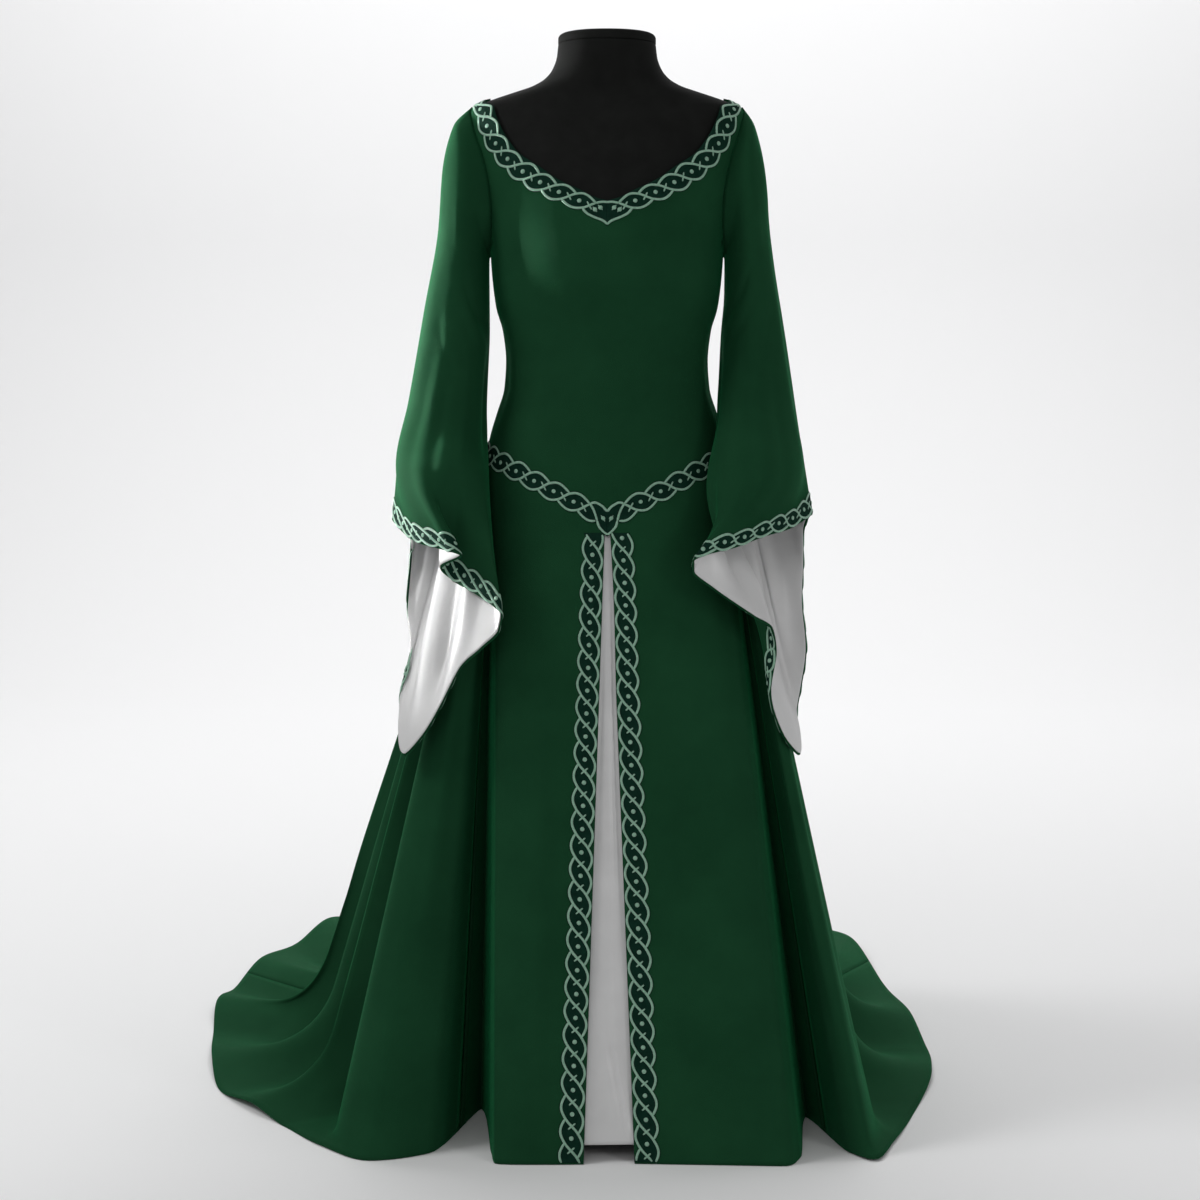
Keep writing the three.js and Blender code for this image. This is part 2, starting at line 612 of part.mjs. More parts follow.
// Skirt

// The folds go once round: the last row is the first one again, a whole turn on.
const FOLD_COUNT = SKIRT_FOLDS.length - 1;
const foldRows = (turn) =>
  SKIRT_FOLDS.slice(0, FOLD_COUNT).map((row, i) => ({
    ...row,
    number: i + turn * FOLD_COUNT,
    hip: row.hip + turn * 360,
  }));
const folds = tableCurves(
  [...foldRows(-1), ...foldRows(0), ...foldRows(1)],
  "number",
  ["hip", "landX", "landY", "hemX", "hemY", "lift"],
);

// The straight run of a column of the skirt: where it leaves the hip, meets the floor and ends.
function skirtColumn(u) {
  const angle = folds.hip(u);
  const lift = Math.max(folds.lift(u), 0);
  const hip = onBody(angle, girdleHeight(angle), FORM_CLEARANCE);
  const land = new THREE.Vector3(folds.landX(u), folds.landY(u), lift);
  const hem = new THREE.Vector3(folds.hemX(u), folds.hemY(u), lift * HEM_LIFT_SHARE);
  return { hip, land, hem, fall: hip.distanceTo(land), run: land.distanceTo(hem) };
}

// How far a column's floor point stands from the mean of its neighbours, which makes it a fold.
function foldOffset(u, land) {
  const mean = (name) => SMOOTHING.reduce((sum, by) => sum + folds[name](u + by), 0) / SMOOTHING.length;
  return new THREE.Vector3(mean("landX"), mean("landY"), 0).sub(land).setZ(0);
}

function skirtLength(u) {
  const { fall, run } = skirtColumn(u);
  return fall + run;
}

// The skirt's inner face: u is the number of the fold, v the share of the way from girdle to hem.
function skirtPoint(u, v) {
  const { hip, land, hem, fall, run } = skirtColumn(u);
  const rounding = Math.min(FLOOR_ROUNDING, run * 0.7);
  const distance = v * (fall + run);
  if (distance <= fall - rounding) {
    const share = distance / fall;
    const closed = 1 - THREE.MathUtils.smoothstep(share, 0, FOLD_START);
    return hip.lerp(land, share).addScaledVector(foldOffset(u, land), share * closed);
  }
  if (distance >= fall + rounding) return land.lerp(hem, (distance - fall) / run);
  const start = land.clone().lerp(hip, rounding / fall);
  const end = land.clone().lerp(hem, rounding / run);
  const share = (distance - fall + rounding) / (2 * rounding);
  return start.lerp(land, share).lerp(land.lerp(end, share), share);
}

const SKIRT = { point: skirtPoint, facing: -1 };

// The first row below the seam is the lower edge of the girdle band.
function skirtRows(u) {
  const bandShare = BAND_WIDTH / 2 / skirtLength(u);
  return [0, ...range(bandShare, 1, SKIRT_ROWS - 1)];
}

// Samples of the skirt between two fold numbers. The top row stands out as the bodice does.
function skirtPanel(from, to) {
  const grid = sample(SKIRT, range(from, to, (to - from) * COLUMNS_PER_FOLD), skirtRows);
  for (const [i, column] of grid.entries()) {
    const angle = folds.hip(from + i / COLUMNS_PER_FOLD);
    column[0].normal = normalAt(BODY, angle, girdleHeight(angle));
  }
  const edges = { first: from !== SKIRT_SEAMS.rightEdge, last: to !== SKIRT_SEAMS.leftEdge, top: true };
  return wall(openSeams(grid, edges), 0, CREPE, { facing: SKIRT.facing });
}

// The satin inset behind the slit, tucked under both front panels.
const INSET_TOP = 11;
const INSET_TUCK = 32;
const INSET_SHORT = 24;
const INSET_GAP = 0.6;

function satinInset() {
  const { leftEdge, rightEdge } = SKIRT_SEAMS;
  const rows = (u) => range(INSET_TOP / skirtLength(u), 1 - INSET_SHORT / skirtLength(u), SKIRT_ROWS - 1);
  const shares = range(0, 1, 6);
  const grid = shares.map((share) =>
    rows(mix(leftEdge, rightEdge, share)).map((v) => {
      const from = stepAcross(SKIRT, leftEdge, v, -INSET_TUCK);
      const to = stepAcross(SKIRT, rightEdge, v, INSET_TUCK);
      const u = mix(from, to, share);
      return { point: skirtPoint(u, v), normal: normalAt(SKIRT, u, v) };
    }),
  );
  return wall(grid, -INSET_GAP - SATIN, -INSET_GAP, { facing: SKIRT.facing });
}

// The band down one front edge, from just below the girdle band to the hem.
function frontBand(start, direction) {
  const top = BAND_WIDTH / 2 + 4;
  const rows = range(top / skirtLength(start), 1, SKIRT_ROWS);
  const grid = range(0, BAND_WIDTH, 2).map((distance) =>
    rows.map((v) => {
      const u = stepAcross(SKIRT, start, v, direction * distance);
      return { point: skirtPoint(u, v), normal: normalAt(SKIRT, u, v) };
    }),
  );
  return wall(grid, CREPE + BAND_GAP, CREPE + BAND_GAP + BAND, { facing: SKIRT.facing * direction });
}

// The girdle band lies half on the bodice and half on the skirt, all the way round.
function girdleBand() {
  const columns = range(0, FOLD_COUNT, FOLD_COUNT * COLUMNS_PER_FOLD).slice(0, -1);
  const grid = columns.map((u) => {
    const angle = folds.hip(u);
    const onBodice = (z) => ({ point: onBody(angle, z, FORM_CLEARANCE), normal: normalAt(BODY, angle, z) });
    const z = girdleHeight(angle);
    const v = BAND_WIDTH / 2 / skirtLength(u);
    return [onBodice(z + BAND_WIDTH / 2), onBodice(z),
      { point: skirtPoint(u, v), normal: normalAt(SKIRT, u, v) }];
  });
  return wall(grid, CREPE + BAND_GAP, CREPE + BAND_GAP + BAND, { closed: true, facing: -1 });
}

// Sleeves

// Moves a point straight out from the body's axis until it is clear of the body and the skirt.
function clearOfBody(point, clearance) {
  const below = Math.min(Math.max((GIRDLE_SIDE - point.z) / (GIRDLE_SIDE - SKIRT_REACH.z), 0), 1.1);
  const z = Math.max(point.z, GIRDLE_SIDE);
  const reach = (hip, flare) => mix(hip, flare, below);
  const side = reach(form.side(z), point.x < 0 ? SKIRT_REACH.left : SKIRT_REACH.right);
  const inFront = point.y < 0;
  const depth = inFront ? reach(form.front(z), SKIRT_REACH.front) : reach(form.back(z), SKIRT_REACH.back);
  const [across, back] = [point.x / side, point.y / depth];
  const square = 1 + SQUARENESS * (2 * across * back / (across * across + back * back)) ** 2;
  const ratio = Math.hypot(across, back) / square;
  const wanted = 1 + clearance / (Math.hypot(point.x, point.y) / ratio);
  const softness = 0.02;
  const pushed = (ratio + wanted + Math.hypot(ratio - wanted, softness)) / 2;
  return new THREE.Vector3(point.x * pushed / ratio, point.y * pushed / ratio, point.z);
}

function sleeveSurface(name) {
  const side = name === "left" ? -1 : 1;
  const hem = closedTableCurves(SLEEVE_HEMS[name], "turn", ["x", "y", "z"], 360);
  const lines = new Map();
  const lineAt = (turn) => {
    const key = turn.toFixed(6);
    if (!lines.has(key)) {
      const radians = THREE.MathUtils.degToRad(turn);
      const [cos, sin] = [Math.cos(radians), Math.sin(radians)];
      const start = armhole(turn);
      const points = [onBody(side * start.angle, start.z, SLEEVE_SEAT + CREPE * (1 - cos) / 2)];
      for (const row of SLEEVE_SECTIONS[name]) {
        const share = (1 - cos) / 2;
        points.push(new THREE.Vector3(
          side * (mix(row.outX, row.inX, share) + row.lean * sin),
          mix(row.outY, row.inY, share) - row.depth * sin,
          mix(row.outZ, row.inZ, share),
        ));
      }
      const wrapped = ((turn % 360) + 360) % 360;
      points.push(new THREE.Vector3(side * hem.x(wrapped), hem.y(wrapped), hem.z(wrapped)));
      lines.set(key, lineThrough(points));
    }
    return lines.get(key);
  };
  const point = (turn, v) => {
    const clearance = mix(SLEEVE_SEAT - 0.3, BODY_CLEARANCE, Math.min(Math.max(v, 0) * 5, 1));
    const place = lineAt(turn).at(v);
    return v < 0.02 ? place : clearOfBody(place, clearance);
  };
  return { point, facing: side, line: lineAt };
}

const SLEEVES = { left: sleeveSurface("left"), right: sleeveSurface("right") };
const sleeveTurns = range(0, 360, SLEEVE_COLUMNS).slice(0, -1);

// Rows at the sleeve's sections, then down its bell; the last but one is the hem band's upper edge.
function sleeveRows(sleeve, turn) {
  const { length, shares } = sleeve.line(turn);
  const sections = shares.slice(0, -1);
  return [...sections.slice(0, -1), ...range(sections.at(-1), 1 - BAND_WIDTH / length, BELL_ROWS), 1];
}

function sleeveWall(sleeve) {
  const grid = sample(sleeve, sleeveTurns, (turn) => sleeveRows(sleeve, turn));
  return wall(grid, 0, CREPE, { closed: true, facing: sleeve.facing });
}

function sleeveLining(sleeve) {
  const grid = sample(sleeve, sleeveTurns, (turn) => sleeveRows(sleeve, turn).slice(LINING_FIRST_ROW));
  return wall(grid, -LINING_GAP - SATIN, -LINING_GAP, { closed: true, facing: sleeve.facing });
}

function sleeveBand(sleeve) {
  const grid = sample(sleeve, sleeveTurns, (turn) => sleeveRows(sleeve, turn).slice(-2));
  return wall(grid, CREPE + BAND_GAP, CREPE + BAND_GAP + BAND, { closed: true, facing: sleeve.facing });
}

// The form

const FORM_COLUMNS = 32;

function formTorso() {
  const heights = [...range(FORM_BOTTOM, 1330, 12), 1346, 1353, 1361, 1372, 1388, 1406, NECK_TOP];
  const angles = range(-180, 180, FORM_COLUMNS).slice(0, -1);
  const shrink = smoothCurve([FORM_BOTTOM, SHRINK_FROM, SHRINK_TO, NECK_TOP],
    [FORM_SHRINK, FORM_SHRINK, SHOULDER_SHRINK, SHOULDER_SHRINK]);
  const level = (angle, z) => {
    const point = bodyPoint(angle, z);
    const share = 1 - shrink(z) / Math.hypot(point.x, point.y);
    return new THREE.Vector3(point.x * share, point.y * share, z);
  };
  return solidOfRings(heights.map((z) => angles.map((angle) => level(angle, z))));
}

function formNeckCap() {
  const bottom = NECK_TOP + SEAM;
  const profile = [
    { z: bottom, share: 1 },
    { z: bottom + CAP_THICK * 0.55, share: 1 },
    { z: bottom + CAP_THICK * 0.85, share: 0.95 },
    { z: bottom + CAP_THICK, share: 0.86 },
  ];
  const angles = range(-180, 180, FORM_COLUMNS).slice(0, -1);
  const ring = ({ z, share }) =>
    angles.map((angle) => {
      const edge = bodyPoint(angle, NECK_TOP);
      return new THREE.Vector3(edge.x * share, edge.y * share, z);
    });
  return solidOfRings(profile.map(ring));
}

function formPole() {
  const [bottom, top] = [BASE_THICK + SEAM, FORM_BOTTOM - SEAM];
  const geometry = new THREE.CylinderGeometry(POLE_RADIUS, POLE_RADIUS, top - bottom, 24);
  geometry.rotateX(Math.PI / 2);
  geometry.translate(0, 0, (top + bottom) / 2);
  return geometry;
}

function formBase() {
  const edge = 5;
  const profile = [
    [0, 0],
    [BASE_RADIUS, 0],
    [BASE_RADIUS, BASE_THICK - edge],
    [BASE_RADIUS - edge, BASE_THICK],
    [0, BASE_THICK],
  ];
  const geometry = new THREE.LatheGeometry(profile.map(([r, z]) => new THREE.Vector2(r, z)), 48);
  geometry.rotateX(Math.PI / 2);
  return geometry;
}

// The dress on its form

const MATERIALS = {
  crepe: { color: COLORS.crepe, roughness: 0.85, metalness: 0 },
  satin: { color: COLORS.satin, roughness: 0.35, metalness: 0 },
  band: { color: COLORS.band, roughness: 0.6, metalness: 0 },
  form: { color: COLORS.form, roughness: 0.7, metalness: 0 },
};

function piece(name, material, geometry) {
  const mesh = new THREE.Mesh(geometry, new THREE.MeshStandardMaterial(MATERIALS[material]));
  mesh.name = name;
  return mesh;
}

function makeForm() {
  const group = new THREE.Group();
  group.add(
    piece("form_torso", "form", formTorso()),
    piece("form_neck_cap", "form", formNeckCap()),
    piece("form_pole", "form", formPole()),
    piece("form_base", "form", formBase()),
  );
  return group;
}

function makeBodice() {
  const group = new THREE.Group();
  group.add(
    piece("bodice_front", "crepe", bodiceFront()),
    piece("bodice_back_left", "crepe", bodiceBack(-1)),
    piece("bodice_back_right", "crepe", bodiceBack(1)),
    piece("trim_neck_front", "band", neckBand(NECKLINE_FRONT, false)),
    piece("trim_neck_back", "band", neckBand(NECKLINE_BACK, true)),
  );
  return group;
}

function makeSkirt() {
  const group = new THREE.Group();
  group.add(
    piece("skirt_back_left", "crepe", skirtPanel(0, SKIRT_SEAMS.leftBack)),
    piece("skirt_side_left", "crepe", skirtPanel(SKIRT_SEAMS.leftBack, SKIRT_SEAMS.leftSide)),
    piece("skirt_front_left", "crepe", skirtPanel(SKIRT_SEAMS.leftSide, SKIRT_SEAMS.leftEdge)),
    piece("skirt_front_right", "crepe", skirtPanel(SKIRT_SEAMS.rightEdge, SKIRT_SEAMS.rightSide)),
    piece("skirt_side_right", "crepe", skirtPanel(SKIRT_SEAMS.rightSide, SKIRT_SEAMS.rightBack)),
    piece("skirt_back_right", "crepe", skirtPanel(SKIRT_SEAMS.rightBack, FOLD_COUNT)),
    piece("satin_inset", "satin", satinInset()),
    piece("trim_front_left", "band", frontBand(SKIRT_SEAMS.leftEdge, -1)),
    piece("trim_front_right", "band", frontBand(SKIRT_SEAMS.rightEdge, 1)),
    piece("trim_girdle", "band", girdleBand()),
  );
  return group;
}

function makeSleeves() {
  const group = new THREE.Group();
  for (const [name, sleeve] of Object.entries(SLEEVES)) {
    group.add(
      piece(`sleeve_${name}`, "crepe", sleeveWall(sleeve)),
      piece(`sleeve_lining_${name}`, "satin", sleeveLining(sleeve)),
      piece(`trim_sleeve_${name}`, "band", sleeveBand(sleeve)),
    );
  }
  return group;
}

const dress = new THREE.Group();
dress.add(makeForm(), makeBodice(), makeSkirt(), makeSleeves());

export default dress;
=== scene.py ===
import math

import bmesh
import bpy
import numpy as np
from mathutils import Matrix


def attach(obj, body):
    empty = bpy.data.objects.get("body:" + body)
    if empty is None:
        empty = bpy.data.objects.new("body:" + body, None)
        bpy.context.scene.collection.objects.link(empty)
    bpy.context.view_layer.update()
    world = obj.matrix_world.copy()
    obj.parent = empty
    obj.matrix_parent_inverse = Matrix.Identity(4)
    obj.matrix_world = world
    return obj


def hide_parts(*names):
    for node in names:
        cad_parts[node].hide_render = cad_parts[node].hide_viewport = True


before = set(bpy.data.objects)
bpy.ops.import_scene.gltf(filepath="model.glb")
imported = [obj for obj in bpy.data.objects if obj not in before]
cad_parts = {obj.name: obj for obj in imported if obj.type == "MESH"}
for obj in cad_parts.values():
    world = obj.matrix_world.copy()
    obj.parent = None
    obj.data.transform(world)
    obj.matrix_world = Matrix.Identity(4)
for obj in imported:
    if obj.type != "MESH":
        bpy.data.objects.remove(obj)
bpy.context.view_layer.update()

# A medieval costume dress worn by a limbless dress form. Sizes are in millimetres unless a name
# says otherwise, angles in degrees. +Z is up and the front faces -Y. Angles round the body: 0 is
# the front centre, 90 is +X, -90 is -X and 180 is the back.
MM = 0.001
# The step, in a surface's own units, over which its slopes are measured.
NUDGE = 1e-3
# A crease fades in over the first third of its length and out over the last third.
CREASE_FADES = 3

CREPE = 1.6
SATIN = 1.0
BAND_WIDTH = 32
FORM_CLEARANCE = 2.2
SHOULDER_CLEARANCE = 0.6
SHRINK_FROM = 1326
SHRINK_TO = 1356
HEAD_GAP = 0.3
FORM_SHRINK = 0.6
NECK_TOP = 1428
FORM_BOTTOM = 705
CAP_THICK = 13

GIRDLE_FRONT = 800
GIRDLE_RISE = 0.525
GIRDLE_SIDE = 884
ARMHOLE_HEIGHT = 1248
ARMHOLE_HALF_HEIGHT = 97
ARMHOLE_HALF_ANGLE = 27
SHOULDER_SEAM_TOP = 1356
BAND_TOP = 1349.5
BODICE_JOINT = 0.58
BODY_CLEARANCE = 10
SQUARENESS = 0.04

FLOOR_ROUNDING = 95
ROUNDING_SHARE = 0.7
FOLD_BLUR = 3
FOLD_START = 0.3
HEM_LIFT_SHARE = 0.3
SKIRT_REACH = {"z": 450, "left": 318, "right": 278, "front": 272, "back": 330}


def table(columns, rows):
    """A table with named columns, as one array for each name."""
    return {name: np.array([row[i] for row in rows], float) for i, name in enumerate(columns.split())}


FORM_SECTIONS = table("z side front back", [
    (705, 157, 98, 108), (750, 163, 103, 118), (800, 166, 107, 124), (850, 166, 108, 124),
    (907, 155, 106, 114), (937, 146, 102, 105), (972, 135.5, 98, 97), (1010, 133, 97, 93),
    (1049, 137, 103, 94), (1081, 146, 113, 98), (1120, 151, 121, 103), (1160, 154, 121, 107),
    (1200, 160, 112, 109), (1240, 168, 99, 108), (1280, 176, 85, 102), (1315, 182, 70, 91),
    (1335, 182, 60, 80), (1346, 177, 54, 73), (1352, 166, 52, 70), (1358, 150, 51, 67),
    (1365, 128, 51, 65), (1374, 101, 52, 63), (1384, 84, 54, 62), (1396, 74, 57, 61),
    (1412, 68, 60, 61), (1428, 66, 61, 61),
])

NECKLINE_FRONT = table("x z band_x band_z", [
    (0, 1211, 0, 1181), (12, 1214, 20, 1190), (34, 1225, 43, 1201), (64, 1240, 76, 1215),
    (90, 1259, 108, 1233), (116, 1278, 136, 1258), (132, 1300, 156, 1286), (144, 1324, 168, 1314),
    (150, 1342, 173, 1336),
])
NECKLINE_BACK = table("x z band_x band_z", [
    (0, 1296, 0, 1264),
    (40, 1300, 46, 1268),
    (80, 1313, 94, 1284),
    (118, 1333, 138, 1308),
    (142, 1348, 166, 1330),
])

# One row for each ridge and valley, from the back centre round by -X to the front and back again.
SKIRT_FOLDS = table("hip land_x land_y hem_x hem_y lift", [
    (-180, 0, 430, 0, 1035, 0), (-171, -75, 520, -150, 1040, 40), (-162, -135, 430, -255, 1022, 0),
    (-154, -215, 520, -370, 1005, 48), (-146, -235, 400, -448, 962, 0),
    (-137, -335, 460, -506, 890, 52), (-129, -320, 320, -548, 765, 0), (-121, -410, 370, -586, 620, 46),
    (-114, -370, 250, -606, 490, 0), (-107, -450, 255, -614, 380, 46), (-100, -335, 140, -596, 240, 0),
    (-94, -415, 105, -574, 110, 32), (-89, -340, 25, -540, -20, 2), (-84, -390, -60, -480, -106, 36),
    (-80, -280, -70, -424, -172, 0), (-76, -352, -226, -368, -243, 6), (-73, -300, -292, -300, -293, 0),
    (-69.5, -228, -266, -228, -267, 0), (-65, -170, -98, -170, -99, 0),
    (-61.5, -147, -262, -147, -263, 0), (-57, -139, -303, -139, -304, 0),
    (-36, -105, -306, -105, -307, 0), (-17, -68, -306, -68, -307, 0), (-0.9, -30, -305, -30, -306, 0),
    (0, 2, -304, 2, -305, 0), (0.9, 34, -303, 34, -304, 0), (18, 85, -305, 85, -306, 0),
    (38, 150, -308, 150, -309, 0), (58, 222, -311, 222, -312, 0), (63, 243, -282, 243, -283, 0),
    (68, 266, -130, 266, -131, 0), (73, 308, -262, 310, -266, 4), (78, 330, -282, 338, -296, 10),
    (82, 350, -200, 372, -228, 12), (88, 310, -60, 412, -120, 0), (95, 352, 45, 462, 40, 26),
    (102, 322, 150, 475, 165, 0), (110, 360, 270, 472, 310, 36), (118, 318, 320, 458, 500, 0),
    (127, 338, 430, 436, 745, 46), (136, 258, 400, 392, 890, 0), (145, 248, 505, 320, 985, 48),
    (154, 168, 425, 232, 1015, 0), (164, 112, 520, 135, 1040, 42), (173, 50, 440, 62, 1040, 6),
])
FOLD_COUNT = len(SKIRT_FOLDS["hip"])
LEFT_EDGE = 23
RIGHT_EDGE = 25
# Each panel's seams by fold number, then its flat size and area in metres.
PANELS = {
    "skirt_front_right": (25, 30.5, (0.33, 0.93), 0.268),
    "skirt_side_right": (30.5, 38.5, (0.95, 1.15), 0.50),
    "skirt_back_right": (38.5, 45, (0.85, 1.50), 0.62),
    "skirt_back_left": (45, 52.5, (1.05, 1.50), 0.85),
    "skirt_side_left": (52.5, 62.5, (1.25, 1.15), 0.69),
    "skirt_front_left": (62.5, 68, (0.30, 0.93), 0.244),
}

# Level sections of the sleeves from the top down: the columns both share, then each one's own.
SHARED_SECTIONS = table("out_y out_z in_z lean depth", [
    (-2, 1322, 1146, 0, 58), (-3, 1262, 1125, 2, 64), (-5, 1180, 1100, 3, 66),
    (-8, 1072, 1050, 4, 66), (-12, 952, 945, 8, 70), (-22, 868, 862, 16, 78),
])
OWN_SECTIONS = {
    "left": [
        (204, 160, -4), (219, 160, -6), (224, 160, -8), (243, 160, -14), (263, 164, -32), (277, 160, -84),
    ],
    "right": [
        (196, 160, -4), (210, 160, -6), (217, 160, -8), (233, 156, -16), (251, 148, -62), (262, 138, -104),
    ],
}
SLEEVE_SECTIONS = {
    name: {**SHARED_SECTIONS, **table("out_x in_x in_y", rows)} for name, rows in OWN_SECTIONS.items()
}

# A sleeve's hem, turn by turn: 0 is its outer side, 90 the front, 180 the inner side, 270 the back.
SLEEVE_HEMS = {
    "left": table("turn x y z", [
        (18, 285, -62, 796), (36, 260, -108, 776), (54, 235, -148, 768), (72, 207, -171, 763),
        (81, 197, -184, 761), (90, 188, -178, 756), (108, 217, -146, 738), (126, 203, -132, 722),
        (144, 178, -146, 709), (162, 151, -168, 694), (171, 136, -181, 681), (189, 140, -182, 658),
        (198, 162, -178, 636), (216, 188, -168, 609), (225, 208, -169, 566), (243, 226, -166, 528),
        (252, 252, -150, 494), (270, 271, -116, 527), (279, 275, -100, 559), (288, 262, -84, 600),
        (306, 264, -64, 640), (315, 269, -48, 672), (333, 264, -26, 752), (351, 272, -12, 786),
    ]),
    "right": table("turn x y z", [
        (15, 273, -62, 804), (38, 238, -110, 787), (60, 203, -140, 779), (82, 164, -162, 766),
        (104, 133, -174, 759), (124, 110, -177, 748), (142, 111, -166, 734), (160, 136, -166, 713),
        (178, 162, -168, 695), (196, 191, -170, 676), (210, 215, -154, 659), (222, 221, -146, 628),
        (234, 213, -152, 575), (245, 220, -142, 518), (256, 244, -118, 489), (266, 246, -92, 515),
        (277, 259, -80, 570), (290, 267, -70, 625), (304, 263, -52, 682), (320, 266, -34, 732),
        (340, 267, -20, 778),
    ]),
}
SIDES = {"left": -1, "right": 1}


# Maths

def hermite(t, start, start_slope, end, end_slope):
    """A cubic from start to end with a slope at each, as t runs from 0 to 1."""
    t2 = t * t
    t3 = t2 * t
    return (
        start * (2 * t3 - 3 * t2 + 1)
        + start_slope * (t3 - 2 * t2 + t)
        + end * (3 * t2 - 2 * t3)
        + end_slope * (t3 - t2)
    )


def smooth_curve(stations, values):
    """A smooth curve through the values that never overshoots them."""
    stations = np.asarray(stations, float)
    values = np.asarray(values, float)
    widths = np.diff(stations)
    rises = np.diff(values) / widths
    slopes = np.empty_like(values)
    slopes[0] = rises[0]
    slopes[-1] = rises[-1]
    product = rises[:-1] * rises[1:]
    both = np.where(product > 0, rises[:-1] + rises[1:], 1)
    slopes[1:-1] = np.where(product > 0, 2 * product / both, 0)

    def at(station):
        station = np.asarray(station, float)
        i = np.clip(np.searchsorted(stations, station, side="right") - 1, 0, len(widths) - 1)
        t = (station - stations[i]) / widths[i]
        return hermite(t, values[i], slopes[i] * widths[i], values[i + 1], slopes[i + 1] * widths[i])

    return at


def closed_table_curves(rows, key, names, turn):
    """Smooth curves through the columns of a table that closes on itself after one turn."""
    stations = np.concatenate([rows[key] - turn, rows[key], rows[key] + turn])
    return {name: smooth_curve(stations, np.tile(rows[name], 3)) for name in names}


def mix(a, b, share):
    return a + (b - a) * share


def smoothstep(share):
    share = np.clip(share, 0, 1)
    return share * share * (3 - 2 * share)


def unit(vectors):
    return vectors / np.maximum(np.linalg.norm(vectors, axis=-1, keepdims=True), 1e-12)


def distances(points):
    """The distance along a row of points, from the first one."""
    steps = np.linalg.norm(np.diff(points, axis=0), axis=-1)
    return np.concatenate([[0], np.cumsum(steps)])


def normals_of(surface, u, v, facing):
    across = surface(u + NUDGE, v) - surface(u - NUDGE, v)
    down = surface(u, v + NUDGE) - surface(u, v - NUDGE)
    return unit(np.cross(across, down)) * facing


def grid_normals(points, closed, facing):
    if closed:
        across = np.roll(points, -1, axis=0) - np.roll(points, 1, axis=0)
    else:
        across = np.gradient(points, axis=0)
    return unit(np.cross(across, np.gradient(points, axis=1))) * facing


def creases(rows, u, v, turn=None):
    """How far soft troughs and ridges move a surface out at (u, v).

    A row is a crease's place across and its half width in u, where it starts and ends in v, its
    height (a trough's is below 0) and how far it drifts across from start to end."""
    total = 0 * (u + v)
    for across, width, start, end, height, drift in rows:
        share = (v - start) / (end - start)
        away = u - across - drift * share
        if turn:
            away = (away + turn / 2) % turn - turn / 2
        fade = smoothstep(share * CREASE_FADES), smoothstep((1 - share) * CREASE_FADES)
        total = total + height * np.exp(-((away / width) ** 2)) * fade[0] * fade[1]
    return total


# Meshes

def add_to_scene(name, data):
    thing = bpy.data.objects.new(name, data)
    bpy.context.scene.collection.objects.link(thing)
    return thing


def mesh_object(name, points, faces, material):
    mesh = bpy.data.meshes.new(name)
    mesh.from_pydata((np.asarray(points) * MM).tolist(), [], faces)
    mesh.shade_smooth()
    mesh.materials.append(material)
    return add_to_scene(name, mesh)


def new_object(name, points, faces, material):
    piece = mesh_object(name, points, faces, material)
    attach(piece, "root")
    return piece


def quads(*corners):
    """Faces with four corners, from arrays of point numbers."""
    return np.stack(np.broadcast_arrays(*corners), axis=-1).reshape(-1, 4)


def tube_faces(rings, columns):
    """The faces of a closed tube through rings of points, with both its ends."""
    lower = np.arange(rings - 1)[:, None] * columns
    i = np.arange(columns)[None, :]
    after = (i + 1) % columns
    faces = quads(lower + i, lower + after, lower + after + columns, lower + i + columns).tolist()
    faces.append(list(range(columns))[::-1])
    faces.append([(rings - 1) * columns + k for k in range(columns)])
    return faces


def shell_faces(columns, rows, closed, facing, open_below=0):
    """The quads of a closed wall of two layers over a grid of columns and rows.

    Below the row open_below its first column has no edge, because another wall joins on there."""
    def at(layer, i, j):
        return (layer * columns + i % columns) * rows + j

    i = np.arange(columns if closed else columns - 1)[:, None]
    j = np.arange(rows - 1)[None, :]
    last = rows - 1
    faces = [
        quads(at(1, i, j), at(1, i + 1, j), at(1, i + 1, j + 1), at(1, i, j + 1)),
        quads(at(0, i, j), at(0, i, j + 1), at(0, i + 1, j + 1), at(0, i + 1, j)),
        quads(at(0, i, 0), at(0, i + 1, 0), at(1, i + 1, 0), at(1, i, 0)),
        quads(at(1, i, last), at(1, i + 1, last), at(0, i + 1, last), at(0, i, last)),
    ]
    if not closed:
        end = columns - 1
        k = j[:, open_below:]
        faces.append(quads(at(1, 0, k + 1), at(0, 0, k + 1), at(0, 0, k), at(1, 0, k)))
        faces.append(quads(at(1, end, j + 1), at(1, end, j), at(0, end, j), at(0, end, j + 1)))
    joined = np.concatenate(faces)
    return (joined if facing > 0 else joined[:, ::-1]).tolist()


def weld(piece):
    """Joins the points of a piece that lie in the same place."""
    joined = bmesh.new()
    joined.from_mesh(piece.data)
    bmesh.ops.remove_doubles(joined, verts=joined.verts, dist=1e-6)
    joined.to_mesh(piece.data)
    joined.free()


def shell(name, points, normals, low, high, material, closed=False, facing=1):
    """A closed thin wall between two distances from a grid of points, never below the floor."""
    layers = np.stack([points + normals * low, points + normals * high])
    layers[..., 2] = np.maximum(layers[..., 2], 0)
    columns, rows = points.shape[:2]
    faces = shell_faces(columns, rows, closed, facing)
    return new_object(name, layers.reshape(-1, 3), faces, material)


# Materials

def new_material(name, base, roughness, **more):
    """A material and its shader; more sets other inputs, each with _ for a space in its name."""
    material = bpy.data.materials.new(name)
    material.use_nodes = True
    shader = material.node_tree.nodes["Principled BSDF"]
    for key, value in {"Base_Color": (*base, 1), "Roughness": roughness, **more}.items():
        shader.inputs[key.replace("_", " ")].default_value = value
    return material, shader


